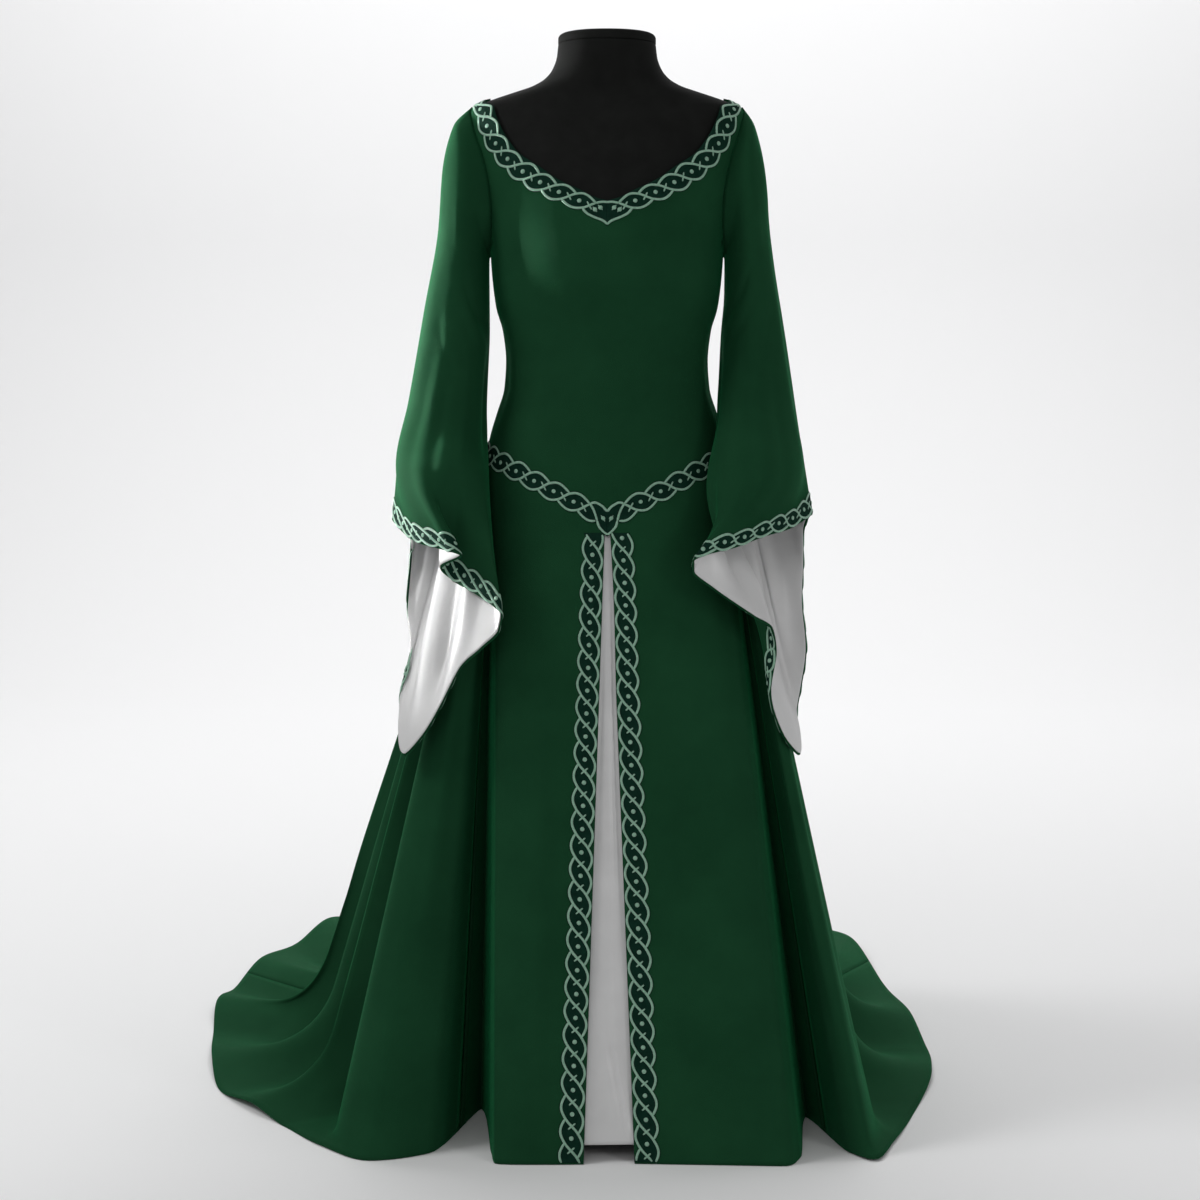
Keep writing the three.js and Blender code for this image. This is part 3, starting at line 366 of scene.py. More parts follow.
def add_node(material, kind, inputs=None, **settings):
    node = material.node_tree.nodes.new(kind)
    for name, value in settings.items():
        setattr(node, name, value)
    for name, value in (inputs or {}).items():
        node.inputs[name].default_value = value
    return node


def join(material, source, target):
    material.node_tree.links.new(source, target)


def grain(material, scale, detail=2.0, stretch=(1, 1, 1)):
    """Noise fixed to the object, with a scale in cells per metre."""
    place = add_node(material, "ShaderNodeTexCoord")
    mapping = add_node(material, "ShaderNodeMapping", {"Scale": stretch})
    noise = add_node(material, "ShaderNodeTexNoise", {"Scale": scale, "Detail": detail, "Roughness": 0.55})
    join(material, place.outputs["Object"], mapping.inputs["Vector"])
    join(material, mapping.outputs["Vector"], noise.inputs["Vector"])
    return noise.outputs["Fac"]


def tint(material, shader, amount, dark, light):
    """Colours a surface between two tones by how much there is of a texture."""
    ramp = add_node(material, "ShaderNodeValToRGB")
    ramp.color_ramp.elements[0].position = 0.3
    ramp.color_ramp.elements[1].position = 0.7
    ramp.color_ramp.elements[0].color = (*dark, 1)
    ramp.color_ramp.elements[1].color = (*light, 1)
    join(material, amount, ramp.inputs["Fac"])
    join(material, ramp.outputs["Color"], shader.inputs["Base Color"])


def emboss(material, shader, heights, distance, strength):
    """Bumps from the sum of some textures."""
    total = heights[0]
    for height in heights[1:]:
        plus = add_node(material, "ShaderNodeMath", operation="ADD")
        join(material, total, plus.inputs[0])
        join(material, height, plus.inputs[1])
        total = plus.outputs[0]
    bump = add_node(material, "ShaderNodeBump", {"Distance": distance, "Strength": strength})
    join(material, total, bump.inputs["Height"])
    join(material, bump.outputs["Normal"], shader.inputs["Normal"])


CREPE_DARK = (0.0080, 0.047, 0.0195)
CREPE_LIGHT = (0.0112, 0.061, 0.0255)
SATIN_DARK = (0.62, 0.62, 0.62)
SATIN_LIGHT = (0.70, 0.70, 0.70)
GROUND_DARK = (0.0022, 0.018, 0.011)
GROUND_LIGHT = (0.0040, 0.028, 0.017)
THREAD_DARK = (0.19, 0.37, 0.26)
THREAD_LIGHT = (0.28, 0.47, 0.35)
FORM_BLACK = (0.0055, 0.006, 0.0055)
STAND_BLACK = (0.012, 0.012, 0.012)
PAPER = (0.86, 0.86, 0.865)


def crepe_material():
    material, shader = new_material("crepe", CREPE_DARK, 0.72, Specular_IOR_Level=0.02, Sheen_Weight=0.22,
                                    Sheen_Roughness=0.32, Sheen_Tint=(0.05, 0.8, 0.28, 1))
    tint(material, shader, grain(material, 9, 4), CREPE_DARK, CREPE_LIGHT)
    pebble = add_node(material, "ShaderNodeTexVoronoi", {"Scale": 1300.0})
    place = add_node(material, "ShaderNodeTexCoord")
    join(material, place.outputs["Object"], pebble.inputs["Vector"])
    emboss(material, shader, [pebble.outputs["Distance"], grain(material, 900)], 0.0006, 0.35)
    return material


def satin_material():
    material, shader = new_material("satin", SATIN_DARK, 0.42, Metallic=0.12, Specular_IOR_Level=0.7,
                                    Anisotropic=0.35)
    tint(material, shader, grain(material, 14, 3), SATIN_DARK, SATIN_LIGHT)
    emboss(material, shader, [grain(material, 700, 2, (1, 1, 0.12))], 0.0003, 0.2)
    return material


def ground_material():
    material, shader = new_material("band_ground", GROUND_DARK, 0.8, Specular_IOR_Level=0.07)
    tint(material, shader, grain(material, 120, 3), GROUND_DARK, GROUND_LIGHT)
    emboss(material, shader, [grain(material, 1400, 2)], 0.0005, 0.5)
    return material


def thread_material():
    material, shader = new_material("band_thread", THREAD_DARK, 0.55, Sheen_Weight=0.3)
    tint(material, shader, grain(material, 260, 3), THREAD_DARK, THREAD_LIGHT)
    emboss(material, shader, [grain(material, 2200, 2)], 0.0004, 0.6)
    return material


def form_material():
    material, shader = new_material("form_cover", FORM_BLACK, 0.8, Specular_IOR_Level=0.12)
    tint(material, shader, grain(material, 40, 3), FORM_BLACK, tuple(1.5 * c for c in FORM_BLACK))
    emboss(material, shader, [grain(material, 1500, 2)], 0.0004, 0.3)
    return material


def stand_material():
    material, shader = new_material("stand_coat", STAND_BLACK, 0.45)
    tint(material, shader, grain(material, 60, 3), STAND_BLACK, tuple(1.4 * c for c in STAND_BLACK))
    emboss(material, shader, [grain(material, 1800, 2)], 0.0003, 0.25)
    return material


def paper_material():
    return new_material("studio_paper", PAPER, 0.95, Specular_IOR_Level=0.1)[0]


CREPE_CLOTH = crepe_material()
SATIN_CLOTH = satin_material()
BAND_GROUND = ground_material()
BAND_THREAD = thread_material()
FORM_COVER = form_material()
STAND_COAT = stand_material()
STUDIO_PAPER = paper_material()


# The body

FORM = {name: smooth_curve(FORM_SECTIONS["z"], FORM_SECTIONS[name]) for name in ("side", "front", "back")}


def body_point(angle, z):
    turn = np.radians(angle)
    square = 1 + SQUARENESS * np.sin(2 * turn) ** 2
    depth = np.where(np.cos(turn) > 0, FORM["front"](z), FORM["back"](z))
    side = FORM["side"](z)
    return np.stack([side * np.sin(turn) * square, -depth * np.cos(turn) * square, z + 0 * turn], axis=-1)


def body_normal(angle, z):
    return normals_of(body_point, angle, z, 1)


def on_body(angle, z, distance):
    return body_point(angle, z) + body_normal(angle, z) * np.asarray(distance)[..., None]


def angle_for_width(x, z):
    """The angle at which the body is a given distance from its centre plane."""
    angle = np.full_like(x, 45.0)
    step = 22.5
    for _ in range(30):
        angle += np.where(body_point(angle, z)[..., 0] < x, step, -step)
        step /= 2
    return angle


def girdle_height(angle):
    """The girdle seam is a V in front and level behind."""
    z = np.full_like(angle, float(GIRDLE_FRONT))
    for _ in range(12):
        z = GIRDLE_FRONT + GIRDLE_RISE * np.abs(body_point(angle, z)[..., 0])
    behind = np.cos(np.radians(angle)) < 0
    return np.where(behind, GIRDLE_SIDE, np.minimum(z, GIRDLE_SIDE))


def armhole(turn):
    angle = 90 - ARMHOLE_HALF_ANGLE * np.sin(np.radians(turn))
    return angle, ARMHOLE_HEIGHT + ARMHOLE_HALF_HEIGHT * np.cos(np.radians(turn))


# Form

FORM_COLUMNS = 144
CHEST_TOP = 1330
CHEST_RINGS = 90
SHOULDER_RINGS = 50
RING_GAP = 3
TOP_EDGE_SHARES = (0.996, 0.985)
CAP_RIM = 5
CAP_RADIUS = 66
CAP_LIFT = 0.3


def level_rings(name, rings, material):
    """A closed solid through level rings of points, from the bottom up."""
    return new_object(name, rings.reshape(-1, 3), tube_faces(*rings.shape[:2]), material)


def form_rings(heights, shares):
    angles = np.linspace(-180, 180, FORM_COLUMNS, endpoint=False)[None, :]
    points = body_point(angles, np.minimum(heights, NECK_TOP)[:, None])
    points[..., :2] *= 1 - FORM_SHRINK / np.linalg.norm(points[..., :2], axis=-1, keepdims=True)
    points[..., :2] *= shares[:, None, None]
    points[..., 2] = heights[:, None]
    return points


def build_form():
    chest = np.linspace(FORM_BOTTOM, CHEST_TOP, CHEST_RINGS)
    shoulders = np.linspace(CHEST_TOP + RING_GAP, NECK_TOP - 1, SHOULDER_RINGS)
    heights = np.concatenate([chest, shoulders, [NECK_TOP - 0.4, NECK_TOP]])
    shares = np.ones_like(heights)
    shares[-2:] = TOP_EDGE_SHARES
    torso = level_rings("form_body", form_rings(heights, shares), FORM_COVER)
    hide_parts("form_torso")

    turn = np.radians(np.linspace(0, 90, 10))
    rim = CAP_THICK - CAP_RIM + CAP_RIM * np.sin(turn)
    heights = NECK_TOP + CAP_LIFT + np.concatenate([[0, 0.6, 2], rim])
    shares = np.concatenate([[0.975, 0.992, 1], 1 - CAP_RIM / CAP_RADIUS * (1 - np.cos(turn))])
    cap = level_rings("form_cap", form_rings(heights, shares), FORM_COVER)
    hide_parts("form_neck_cap")
    for name in ("form_pole", "form_base"):
        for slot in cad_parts[name].material_slots:
            slot.material = STAND_COAT


# Bodice

def flat_line(angles, heights):
    """A line in angle and height, by the share of its length on the body."""
    stations = distances(body_point(angles, heights))
    angle = smooth_curve(stations, angles)
    z = smooth_curve(stations, heights)
    length = stations[-1]
    return lambda share: np.stack([angle(share * length), z(share * length)], axis=-1)


def neck_line(rows, prefix, top):
    """The neckline, or with the prefix band_ its band's outer edge, from the centre to the shoulder."""
    x, z = rows[prefix + "x"], rows[prefix + "z"]
    return flat_line(np.append(angle_for_width(x, z), 90), np.append(z, top))


def two_lines(first, second, v):
    """One line up to the bodice's joint, then another."""
    before = first(np.minimum(v, BODICE_JOINT) / BODICE_JOINT)
    after = second(np.maximum(v - BODICE_JOINT, 0) / (1 - BODICE_JOINT))
    return np.where((v < BODICE_JOINT)[..., None], before, after)


def bodice_half(rows, behind):
    """Half a bodice as a patch in angle and height: u runs from centre to side, v upwards."""
    def bottom(u):
        angle = 90 * u
        return np.stack([angle, girdle_height(180 - angle if behind else angle)], axis=-1)

    low = bottom(np.array([0.0, 1.0]))
    neckline = neck_line(rows, "", SHOULDER_SEAM_TOP)
    start, end = neckline(np.array([0.0, 1.0]))
    armhole_low, armhole_top = np.stack(armhole(np.array([180.0, 0.0])), axis=-1)
    centre = flat_line(*np.stack([low[0], start], axis=-1))
    side = flat_line(*np.stack([low[1], armhole_low], axis=-1))
    arm = flat_line(*armhole(np.linspace(180, 0, 9)))
    shoulder = flat_line(*np.stack([end, armhole_top], axis=-1))

    def at(u, v):
        u, v = np.broadcast_arrays(u, v)
        s, t = u[..., None], v[..., None]
        corners = (1 - s) * (1 - t) * low[0] + s * (1 - t) * low[1]
        corners = corners + (1 - s) * t * end + s * t * armhole_top
        return ((1 - s) * two_lines(centre, neckline, v) + s * two_lines(side, arm, v)
                + (1 - t) * bottom(u) + t * shoulder(u) - corners)

    return at


bodice_clearance = smooth_curve([FORM_BOTTOM, SHRINK_FROM, SHRINK_TO, NECK_TOP],
                                [FORM_CLEARANCE, FORM_CLEARANCE, SHOULDER_CLEARANCE, SHOULDER_CLEARANCE])


BODICE_CREASES_FRONT = [
    (0.0, 9, 950, 1090, -0.8, 0), (62, 9, 925, 1085, 1.6, 4), (-58, 8, 935, 1075, 1.5, -3),
    (74, 6, 905, 1030, -1.4, 2), (-72, 6, 900, 1040, -1.5, -2), (48, 7, 1120, 1260, -1.6, 9),
    (-50, 7, 1110, 1255, -1.5, -8), (30, 8, 1060, 1150, -1.1, -5), (-33, 9, 1050, 1140, -1.0, 6),
]
BODICE_CREASES_BACK = [
    (168, 7, 920, 1090, -1.2, -5), (-166, 8, 935, 1100, -1.2, 4), (130, 8, 915, 1060, 1.3, 3),
    (-132, 8, 910, 1050, 1.4, -3), (118, 6, 1120, 1250, -1.5, -6), (-116, 7, 1110, 1245, -1.4, 6),
]
WAIST_CREASES = [
    (1002, 9, -70, -18, -1.1, 8), (985, 8, 24, 78, -1.2, 10), (1022, 8, 50, 86, -1.0, -9),
    (968, 7, -86, -50, -0.9, 7), (1008, 9, 108, 160, -1.1, -7), (990, 8, -158, -112, -1.1, 8),
]


LOWER_ROWS = 44
UPPER_ROWS = 80
HALF_COLUMNS = 60


def bodice_point(angle, z, behind, out=0):
    """The bodice's inner face with its creases, or a distance out from it."""
    depth = creases(BODICE_CREASES_BACK if behind else BODICE_CREASES_FRONT, angle, z)
    depth = depth + creases(WAIST_CREASES, z, angle)
    return on_body(angle, z, bodice_clearance(z) + out + depth)


def bodice_panel(name, rows, behind, sides):
    """A bodice panel over one half, or over both halves joined along the centre."""
    half = bodice_half(rows, behind)
    shares = np.linspace(0, 1, HALF_COLUMNS)[:, None]
    heights = np.concatenate([
        np.linspace(0, BODICE_JOINT, LOWER_ROWS, endpoint=False),
        mix(BODICE_JOINT, 1, 1 - np.linspace(1, 0, UPPER_ROWS) ** 1.5),
    ])[None, :]
    layers, faces, count = [], [], 0
    for side in sides:
        angle, z = np.moveaxis(half(shares, heights), -1, 0)
        angle = side * (180 - angle if behind else angle)
        points = bodice_point(angle, z, behind)
        layers.append(np.stack([points, points + body_normal(angle, z) * CREPE]).reshape(-1, 3))
        facing = -side if behind else side
        open_below = LOWER_ROWS if len(sides) == 2 else 0
        for face in shell_faces(*points.shape[:2], False, facing, open_below):
            faces.append([k + count for k in face])
        count += len(layers[-1])
    panel = new_object(name + "_cloth", np.concatenate(layers), faces, CREPE_CLOTH)
    if len(sides) == 2:
        weld(panel)
    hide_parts(name)
    return panel


def build_bodice():
    front = bodice_panel("bodice_front", NECKLINE_FRONT, False, (-1, 1))
    for side, sign in SIDES.items():
        back = bodice_panel("bodice_back_" + side, NECKLINE_BACK, True, (sign,))


# Skirt

FOLDS = closed_table_curves(
    {**SKIRT_FOLDS, "number": np.arange(FOLD_COUNT, dtype=float)},
    "number",
    ["land_x", "land_y", "hem_x", "hem_y", "lift"],
    FOLD_COUNT,
)
HIP_ANGLES = smooth_curve(
    np.arange(-FOLD_COUNT, 2 * FOLD_COUNT),
    np.concatenate([SKIRT_FOLDS["hip"] + turn for turn in (-360, 0, 360)]),
)


def skirt_lines(u):
    """Where each column of the skirt leaves the hip, meets the floor and ends, and its lengths."""
    angle = HIP_ANGLES(u)
    lift = np.maximum(FOLDS["lift"](u), 0)
    hip = on_body(angle, girdle_height(angle), FORM_CLEARANCE)
    land = np.stack([FOLDS["land_x"](u), FOLDS["land_y"](u), lift], axis=-1)
    hem = np.stack([FOLDS["hem_x"](u), FOLDS["hem_y"](u), lift * HEM_LIFT_SHARE], axis=-1)
    fall = np.linalg.norm(land - hip, axis=-1, keepdims=True)
    run = np.linalg.norm(hem - land, axis=-1, keepdims=True)
    return hip, land, hem, fall, run


def fold_offset(u, land):
    near = range(-FOLD_BLUR, FOLD_BLUR + 1)
    smoothed = [sum(FOLDS[name](u + by) for by in near) / len(near) for name in ("land_x", "land_y")]
    return np.stack([smoothed[0] - land[..., 0], smoothed[1] - land[..., 1], 0 * u], axis=-1)


def skirt_point(u, v):
    """The skirt's inner face: u is the fold number, v the share of the way from girdle to hem."""
    u, v = np.broadcast_arrays(np.asarray(u, float), np.asarray(v, float))
    hip, land, hem, fall, run = skirt_lines(u)
    rounding = np.minimum(FLOOR_ROUNDING, run * ROUNDING_SHARE)
    distance = v[..., None] * (fall + run)
    share = distance / fall
    closed = share * (1 - smoothstep(share / FOLD_START))
    falling = mix(hip, land, share) + fold_offset(u, land) * closed
    lying = mix(land, hem, (distance - fall) / run)
    start = mix(land, hip, rounding / fall)
    end = mix(land, hem, rounding / run)
    share = (distance - fall + rounding) / (2 * rounding)
    bend = mix(mix(start, land, share), mix(land, end, share), share)
    return np.where(distance <= fall - rounding, falling, np.where(distance >= fall + rounding, lying, bend))


def skirt_length(u):
    *_, fall, run = skirt_lines(u)
    return (fall + run)[..., 0]


def step_across(u, v, distance):
    """The fold number whose point lies a distance away from the one at u, at the same v."""
    start = skirt_point(u, v)
    step = math.copysign(1, distance)
    reached = np.asarray(u + step + 0 * v, float)
    for _ in range(24):
        step /= 2
        short = np.linalg.norm(skirt_point(reached, v) - start, axis=-1) < abs(distance)
        reached = reached + np.where(short, step, -step)
    return reached


# Soft secondary folds and creases of the skirt, by fold number (the front edges are 23 and 25).
SKIRT_CREASES = [
    (20.6, 0.35, 0.12, 0.75, -2.2, 0.2), (21.5, 0.3, 0.3, 0.98, 2.4, -0.1),
    (22.2, 0.22, 0.05, 0.45, -1.6, 0.1), (26.5, 0.3, 0.25, 0.98, -2.3, 0.2),
    (27.4, 0.28, 0.05, 0.6, 2.2, 0.2), (28.1, 0.25, 0.4, 1.00, -2.6, -0.1),
    (16.3, 0.28, 0.15, 0.8, 5.0, 0.1), (14.6, 0.22, 0.25, 0.9, -6.0, -0.2),
    (13.4, 0.25, 0.45, 1.00, 7.0, 0.3), (12.6, 0.2, 0.3, 0.85, -5.0, 0.2),
    (11.5, 0.24, 0.4, 1.00, 6.5, -0.3), (10.4, 0.22, 0.2, 0.75, -5.0, 0.2),
    (9.4, 0.25, 0.5, 1.00, -8.0, -0.3), (8.5, 0.24, 0.3, 0.95, 6.0, 0.2),
    (7.4, 0.22, 0.2, 0.7, -4.5, 0.2), (6.6, 0.25, 0.45, 1.00, 7.5, -0.2),
    (5.5, 0.22, 0.15, 0.65, -5.0, 0.1), (4.4, 0.28, 0.5, 1.00, -7.0, 0.3),
    (3.5, 0.24, 0.25, 0.8, 5.5, -0.2), (2.5, 0.22, 0.4, 1.00, -6.0, 0.2),
    (1.4, 0.25, 0.2, 0.75, 5.0, 0.2), (0.5, 0.22, 0.5, 1.00, 6.0, -0.2),
    (31.4, 0.25, 0.2, 0.85, 4.5, 0.1), (32.6, 0.22, 0.35, 1.00, -5.0, 0.2),
    (33.5, 0.25, 0.2, 0.8, -4.5, -0.1), (34.5, 0.24, 0.45, 1.00, 6.5, 0.2),
    (35.6, 0.22, 0.25, 0.75, -5.0, 0.1), (36.5, 0.25, 0.5, 1.00, -7.0, -0.2),
    (37.5, 0.22, 0.2, 0.8, 5.0, 0.2), (38.6, 0.24, 0.4, 1.00, 6.0, -0.2),
    (39.5, 0.22, 0.15, 0.65, -4.5, 0.2), (40.5, 0.25, 0.5, 1.00, 7.0, 0.2),
    (41.4, 0.22, 0.25, 0.8, -5.5, -0.2), (42.5, 0.24, 0.45, 1.00, -6.0, 0.3),
    (43.6, 0.22, 0.2, 0.7, 5.0, 0.1), (44.4, 0.24, 0.55, 1.00, -6.5, -0.2),
]
SKIRT_COLUMNS_PER_FOLD = 12
SKIRT_ROWS = 120
BLEND_ROWS = 8
FLOOR_GAP = 0.3


def build_skirt():
    steps = (LEFT_EDGE + FOLD_COUNT - RIGHT_EDGE) * SKIRT_COLUMNS_PER_FOLD
    u = RIGHT_EDGE + np.arange(steps + 1)[:, None] / SKIRT_COLUMNS_PER_FOLD
    v = np.linspace(0, 1, SKIRT_ROWS)[None, :]
    points = skirt_point(u, v)
    normals = grid_normals(points, False, -1)
    points = points + normals * creases(SKIRT_CREASES, u, v, FOLD_COUNT)[..., None]
    points[..., 2] = np.maximum(points[..., 2], FLOOR_GAP)
    normals = grid_normals(points, False, -1)
    angle = HIP_ANGLES(u[:, 0])
    top_normals = body_normal(angle, girdle_height(angle))
    for row in range(BLEND_ROWS):
        normals[:, row] = unit(mix(top_normals, normals[:, row], row / BLEND_ROWS))
    for name, (start, end, flat, area) in PANELS.items():
        first, last = [round((seam - RIGHT_EDGE) * SKIRT_COLUMNS_PER_FOLD) for seam in (start, end)]
        part = slice(first, last + 1)
        panel = shell(name + "_cloth", points[part], normals[part], 0, CREPE, CREPE_CLOTH,
                      facing=-1)
        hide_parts(name)


INSET_TOP = 11
INSET_TUCK = 32
INSET_SHORT = 24
INSET_DEPTH = 3.2
INSET_CREASES = [
    (0.3, 0.1, 0.1, 0.95, -2.0, -0.1),
    (0.55, 0.08, 0.25, 1.00, 1.8, 0.1),
    (0.72, 0.09, 0.05, 0.8, -1.5, 0.04),
    (0.46, 0.05, 0.8, 1.02, -3.0, 0.35),
    (0.62, 0.05, 0.86, 1.03, 2.6, 0.25),
]


def build_inset():
    share = np.linspace(0, 1, 41)[:, None]
    centre = mix(float(LEFT_EDGE), float(RIGHT_EDGE), share)
    length = skirt_length(centre)
    down = np.linspace(0, 1, 160)[None, :]
    v = mix(INSET_TOP / length, 1 - INSET_SHORT / length, down)
    first = step_across(LEFT_EDGE, v, -INSET_TUCK)
    last = step_across(RIGHT_EDGE, v, INSET_TUCK)
    u = mix(first, last, share)
    points = skirt_point(u, v)
    normals = grid_normals(points, False, -1)
    depth = creases(INSET_CREASES, share + 0 * down, down + 0 * share) - INSET_DEPTH
    points = points + normals * depth[..., None]
    inset = shell("satin_inset_cloth", points, grid_normals(points, False, -1), -SATIN, 0,
                  SATIN_CLOTH, facing=-1)
    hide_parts("satin_inset")


# Sleeves

def clear_of_body(points, clearance):
    """Moves points straight out from the body's axis until they are clear of the body and skirt."""
    x, y, z = np.moveaxis(points, -1, 0)
    below = np.clip((GIRDLE_SIDE - z) / (GIRDLE_SIDE - SKIRT_REACH["z"]), 0, REACH_LIMIT)
    level = np.maximum(z, GIRDLE_SIDE)
    flare = np.where(x < 0, SKIRT_REACH["left"], SKIRT_REACH["right"])
    side = mix(FORM["side"](level), flare, below)
    front = mix(FORM["front"](level), SKIRT_REACH["front"], below)
    back = mix(FORM["back"](level), SKIRT_REACH["back"], below)
    across = x / side
    behind = y / np.where(y < 0, front, back)
    square = 1 + SQUARENESS * (2 * across * behind / (across ** 2 + behind ** 2)) ** 2
    ratio = np.hypot(across, behind) / square
    wanted = 1 + clearance / (np.hypot(x, y) / ratio)
    pushed = (ratio + wanted + np.hypot(ratio - wanted, PUSH_SOFTNESS)) / 2
    return np.stack([x * pushed / ratio, y * pushed / ratio, z], axis=-1)


def sleeve_line(name, turn):
    """A smooth line down one turn of a sleeve, from armhole to hem, and its length."""
    sign = SIDES[name]
    cos, sin = np.cos(np.radians(turn)), np.sin(np.radians(turn))
    rows = SLEEVE_SECTIONS[name]
    share = (1 - cos) / 2
    angle, z = armhole(turn)
    seat = bodice_clearance(z) + CREPE + HEAD_GAP
    start = on_body(np.array([sign * angle]), np.array([z]), seat)
    sections = np.stack([
        sign * (mix(rows["out_x"], rows["in_x"], share) + rows["lean"] * sin),
        mix(rows["out_y"], rows["in_y"], share) - rows["depth"] * sin,
        mix(rows["out_z"], rows["in_z"], share),
    ], axis=-1)
    hem = np.array([[sign * HEMS[name]["x"](turn), HEMS[name]["y"](turn), HEMS[name]["z"](turn)]])
    points = np.concatenate([start, sections, hem])
    stations = distances(points)
    curves = [smooth_curve(stations, points[:, axis]) for axis in range(3)]
    return lambda v: np.stack([curve(v * stations[-1]) for curve in curves], axis=-1), stations[-1]


HEMS = {name: closed_table_curves(rows, "turn", ["x", "y", "z"], 360) for name, rows in SLEEVE_HEMS.items()}

# Soft folds down the sleeves, by turn.
SLEEVE_CREASES = {
    "left": [
        (44, 24, 0.12, 1.02, 5.5, -4), (16, 12, 0.3, 1.00, -1.5, -4), (70, 14, 0.25, 0.98, -2.6, -4),
        (76, 10, 0.45, 1.00, 2.0, 4), (100, 9, 0.4, 0.95, -2.0, -5), (128, 10, 0.3, 0.9, 1.8, 8),
        (2, 10, 0.45, 0.98, -1.8, 6), (205, 9, 0.55, 1.00, -8.1, 8), (226, 8, 0.6, 1.00, 8.8, 6),
        (244, 8, 0.5, 1.00, -8.1, 8), (262, 8, 0.6, 1.00, 7.4, -6), (290, 9, 0.4, 0.95, -5.4, 8),
        (318, 10, 0.5, 1.00, 5.4, -4), (340, 9, 0.35, 0.95, 1.2, 6), (180, 10, 0.2, 0.6, -4.1, -8),
        (60, 14, 0.04, 0.32, -1.2, 14), (30, 10, 0.06, 0.3, 1.0, 12),
    ],
    "right": [
        (24, 11, 0.35, 1.00, -2.2, 8), (48, 12, 0.25, 0.95, 2.2, -6), (72, 9, 0.45, 1.00, -2.0, 6),
        (96, 10, 0.35, 0.98, 2.0, 4), (122, 9, 0.3, 0.9, -1.8, -8), (2, 10, 0.4, 0.96, 1.5, -6),
        (186, 9, 0.55, 1.00, 6.8, 8), (204, 8, 0.6, 1.00, -8.8, 6), (220, 8, 0.55, 1.00, 8.1, 6),
        (240, 8, 0.6, 1.00, -8.1, -8), (258, 8, 0.55, 0.98, 6.8, 6), (284, 9, 0.4, 0.95, -5.4, -8),
        (312, 10, 0.5, 1.00, 5.4, 6), (336, 9, 0.35, 0.95, -1.2, -6), (178, 10, 0.2, 0.6, -4.1, 8),
        (62, 13, 0.05, 0.34, -1.2, -12), (34, 10, 0.06, 0.28, 1.0, -10),
    ],
}
# Creases round the sleeves, by share of the way down.
ACROSS_CREASES = {
    "left": [
        (0.36, 0.024, 70, 150, -1.3, -0.05), (0.44, 0.022, 60, 120, -1.0, 0.05),
        (0.27, 0.022, 90, 190, -2.4, -0.06), (0.31, 0.018, 250, 340, -2.2, 0.05),
        (0.42, 0.02, 200, 290, -2.4, -0.05),
    ],
    "right": [
        (0.34, 0.024, 70, 160, -1.4, -0.05), (0.43, 0.022, 50, 110, -1.1, 0.05),
        (0.25, 0.022, 80, 180, -2.2, -0.06), (0.30, 0.018, 240, 330, -2.2, 0.05),
        (0.4, 0.02, 210, 300, -2.4, -0.05),
    ],
}
SLEEVE_TURNS = 192
SLEEVE_ROWS = 110
LINING_START = 0.42
LINING_GAP = 0.4
LINING_ROWS = 90
LINING_SHORT = 2.5
# A sleeve lies on the bodice at its head. It leaves it over this share of its length, and its
# clearance grows to the full one so many times as fast as the sleeve goes down.
SEAT_END = 0.06
CLEARANCE_RISE = 5
# How softly points are pushed off the body, and how far past the skirt's known reach it flares.
PUSH_SOFTNESS = 0.02
REACH_LIMIT = 1.1


def sleeve_grid(name, turns, rows_of):
    """Points of a sleeve, column by column; rows_of gives each column's places from its length."""
    columns = []
    for turn in turns:
        line, length = sleeve_line(name, turn)
        v = rows_of(length)
        points = line(v)
        clearance = mix(FORM_CLEARANCE + CREPE, BODY_CLEARANCE, np.clip(v * CLEARANCE_RISE, 0, 1))
        cleared = clear_of_body(points, clearance)
        columns.append(mix(points, cleared, smoothstep(v / SEAT_END)[:, None]))
    return np.stack(columns)


def creased_sleeve(name, turns, rows_of, lengths):
    """The sleeve's points with its creases, and their normals."""
    points = sleeve_grid(name, turns, rows_of)
    v = np.stack([rows_of(length) for length in lengths])
    turn = turns[:, None] + 0 * v
    facing = SIDES[name]
    depth = creases(SLEEVE_CREASES[name], turn, v, 360) + creases(ACROSS_CREASES[name], v, turn)
    points = points + grid_normals(points, True, facing) * depth[..., None]
    return points, grid_normals(points, True, facing)


def build_sleeve(name):
    turns = np.linspace(0, 360, SLEEVE_TURNS, endpoint=False)
    lengths = [sleeve_line(name, turn)[1] for turn in turns]
    facing = SIDES[name]
    points, normals = creased_sleeve(name, turns, lambda length: np.linspace(0, 1, SLEEVE_ROWS), lengths)
    sleeve = shell(f"sleeve_{name}_cloth", points, normals, 0, CREPE, CREPE_CLOTH, True, facing)
    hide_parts("sleeve_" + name)

    def lining_rows(length):
        return np.linspace(LINING_START, 1 - LINING_SHORT / length, LINING_ROWS)

    points, normals = creased_sleeve(name, turns, lining_rows, lengths)
    lining = shell(f"sleeve_lining_{name}_cloth", points, normals, -LINING_GAP - SATIN, -LINING_GAP,
                   SATIN_CLOTH, True, facing)
    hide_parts("sleeve_lining_" + name)
    return turns, lengths


# Interlace bands

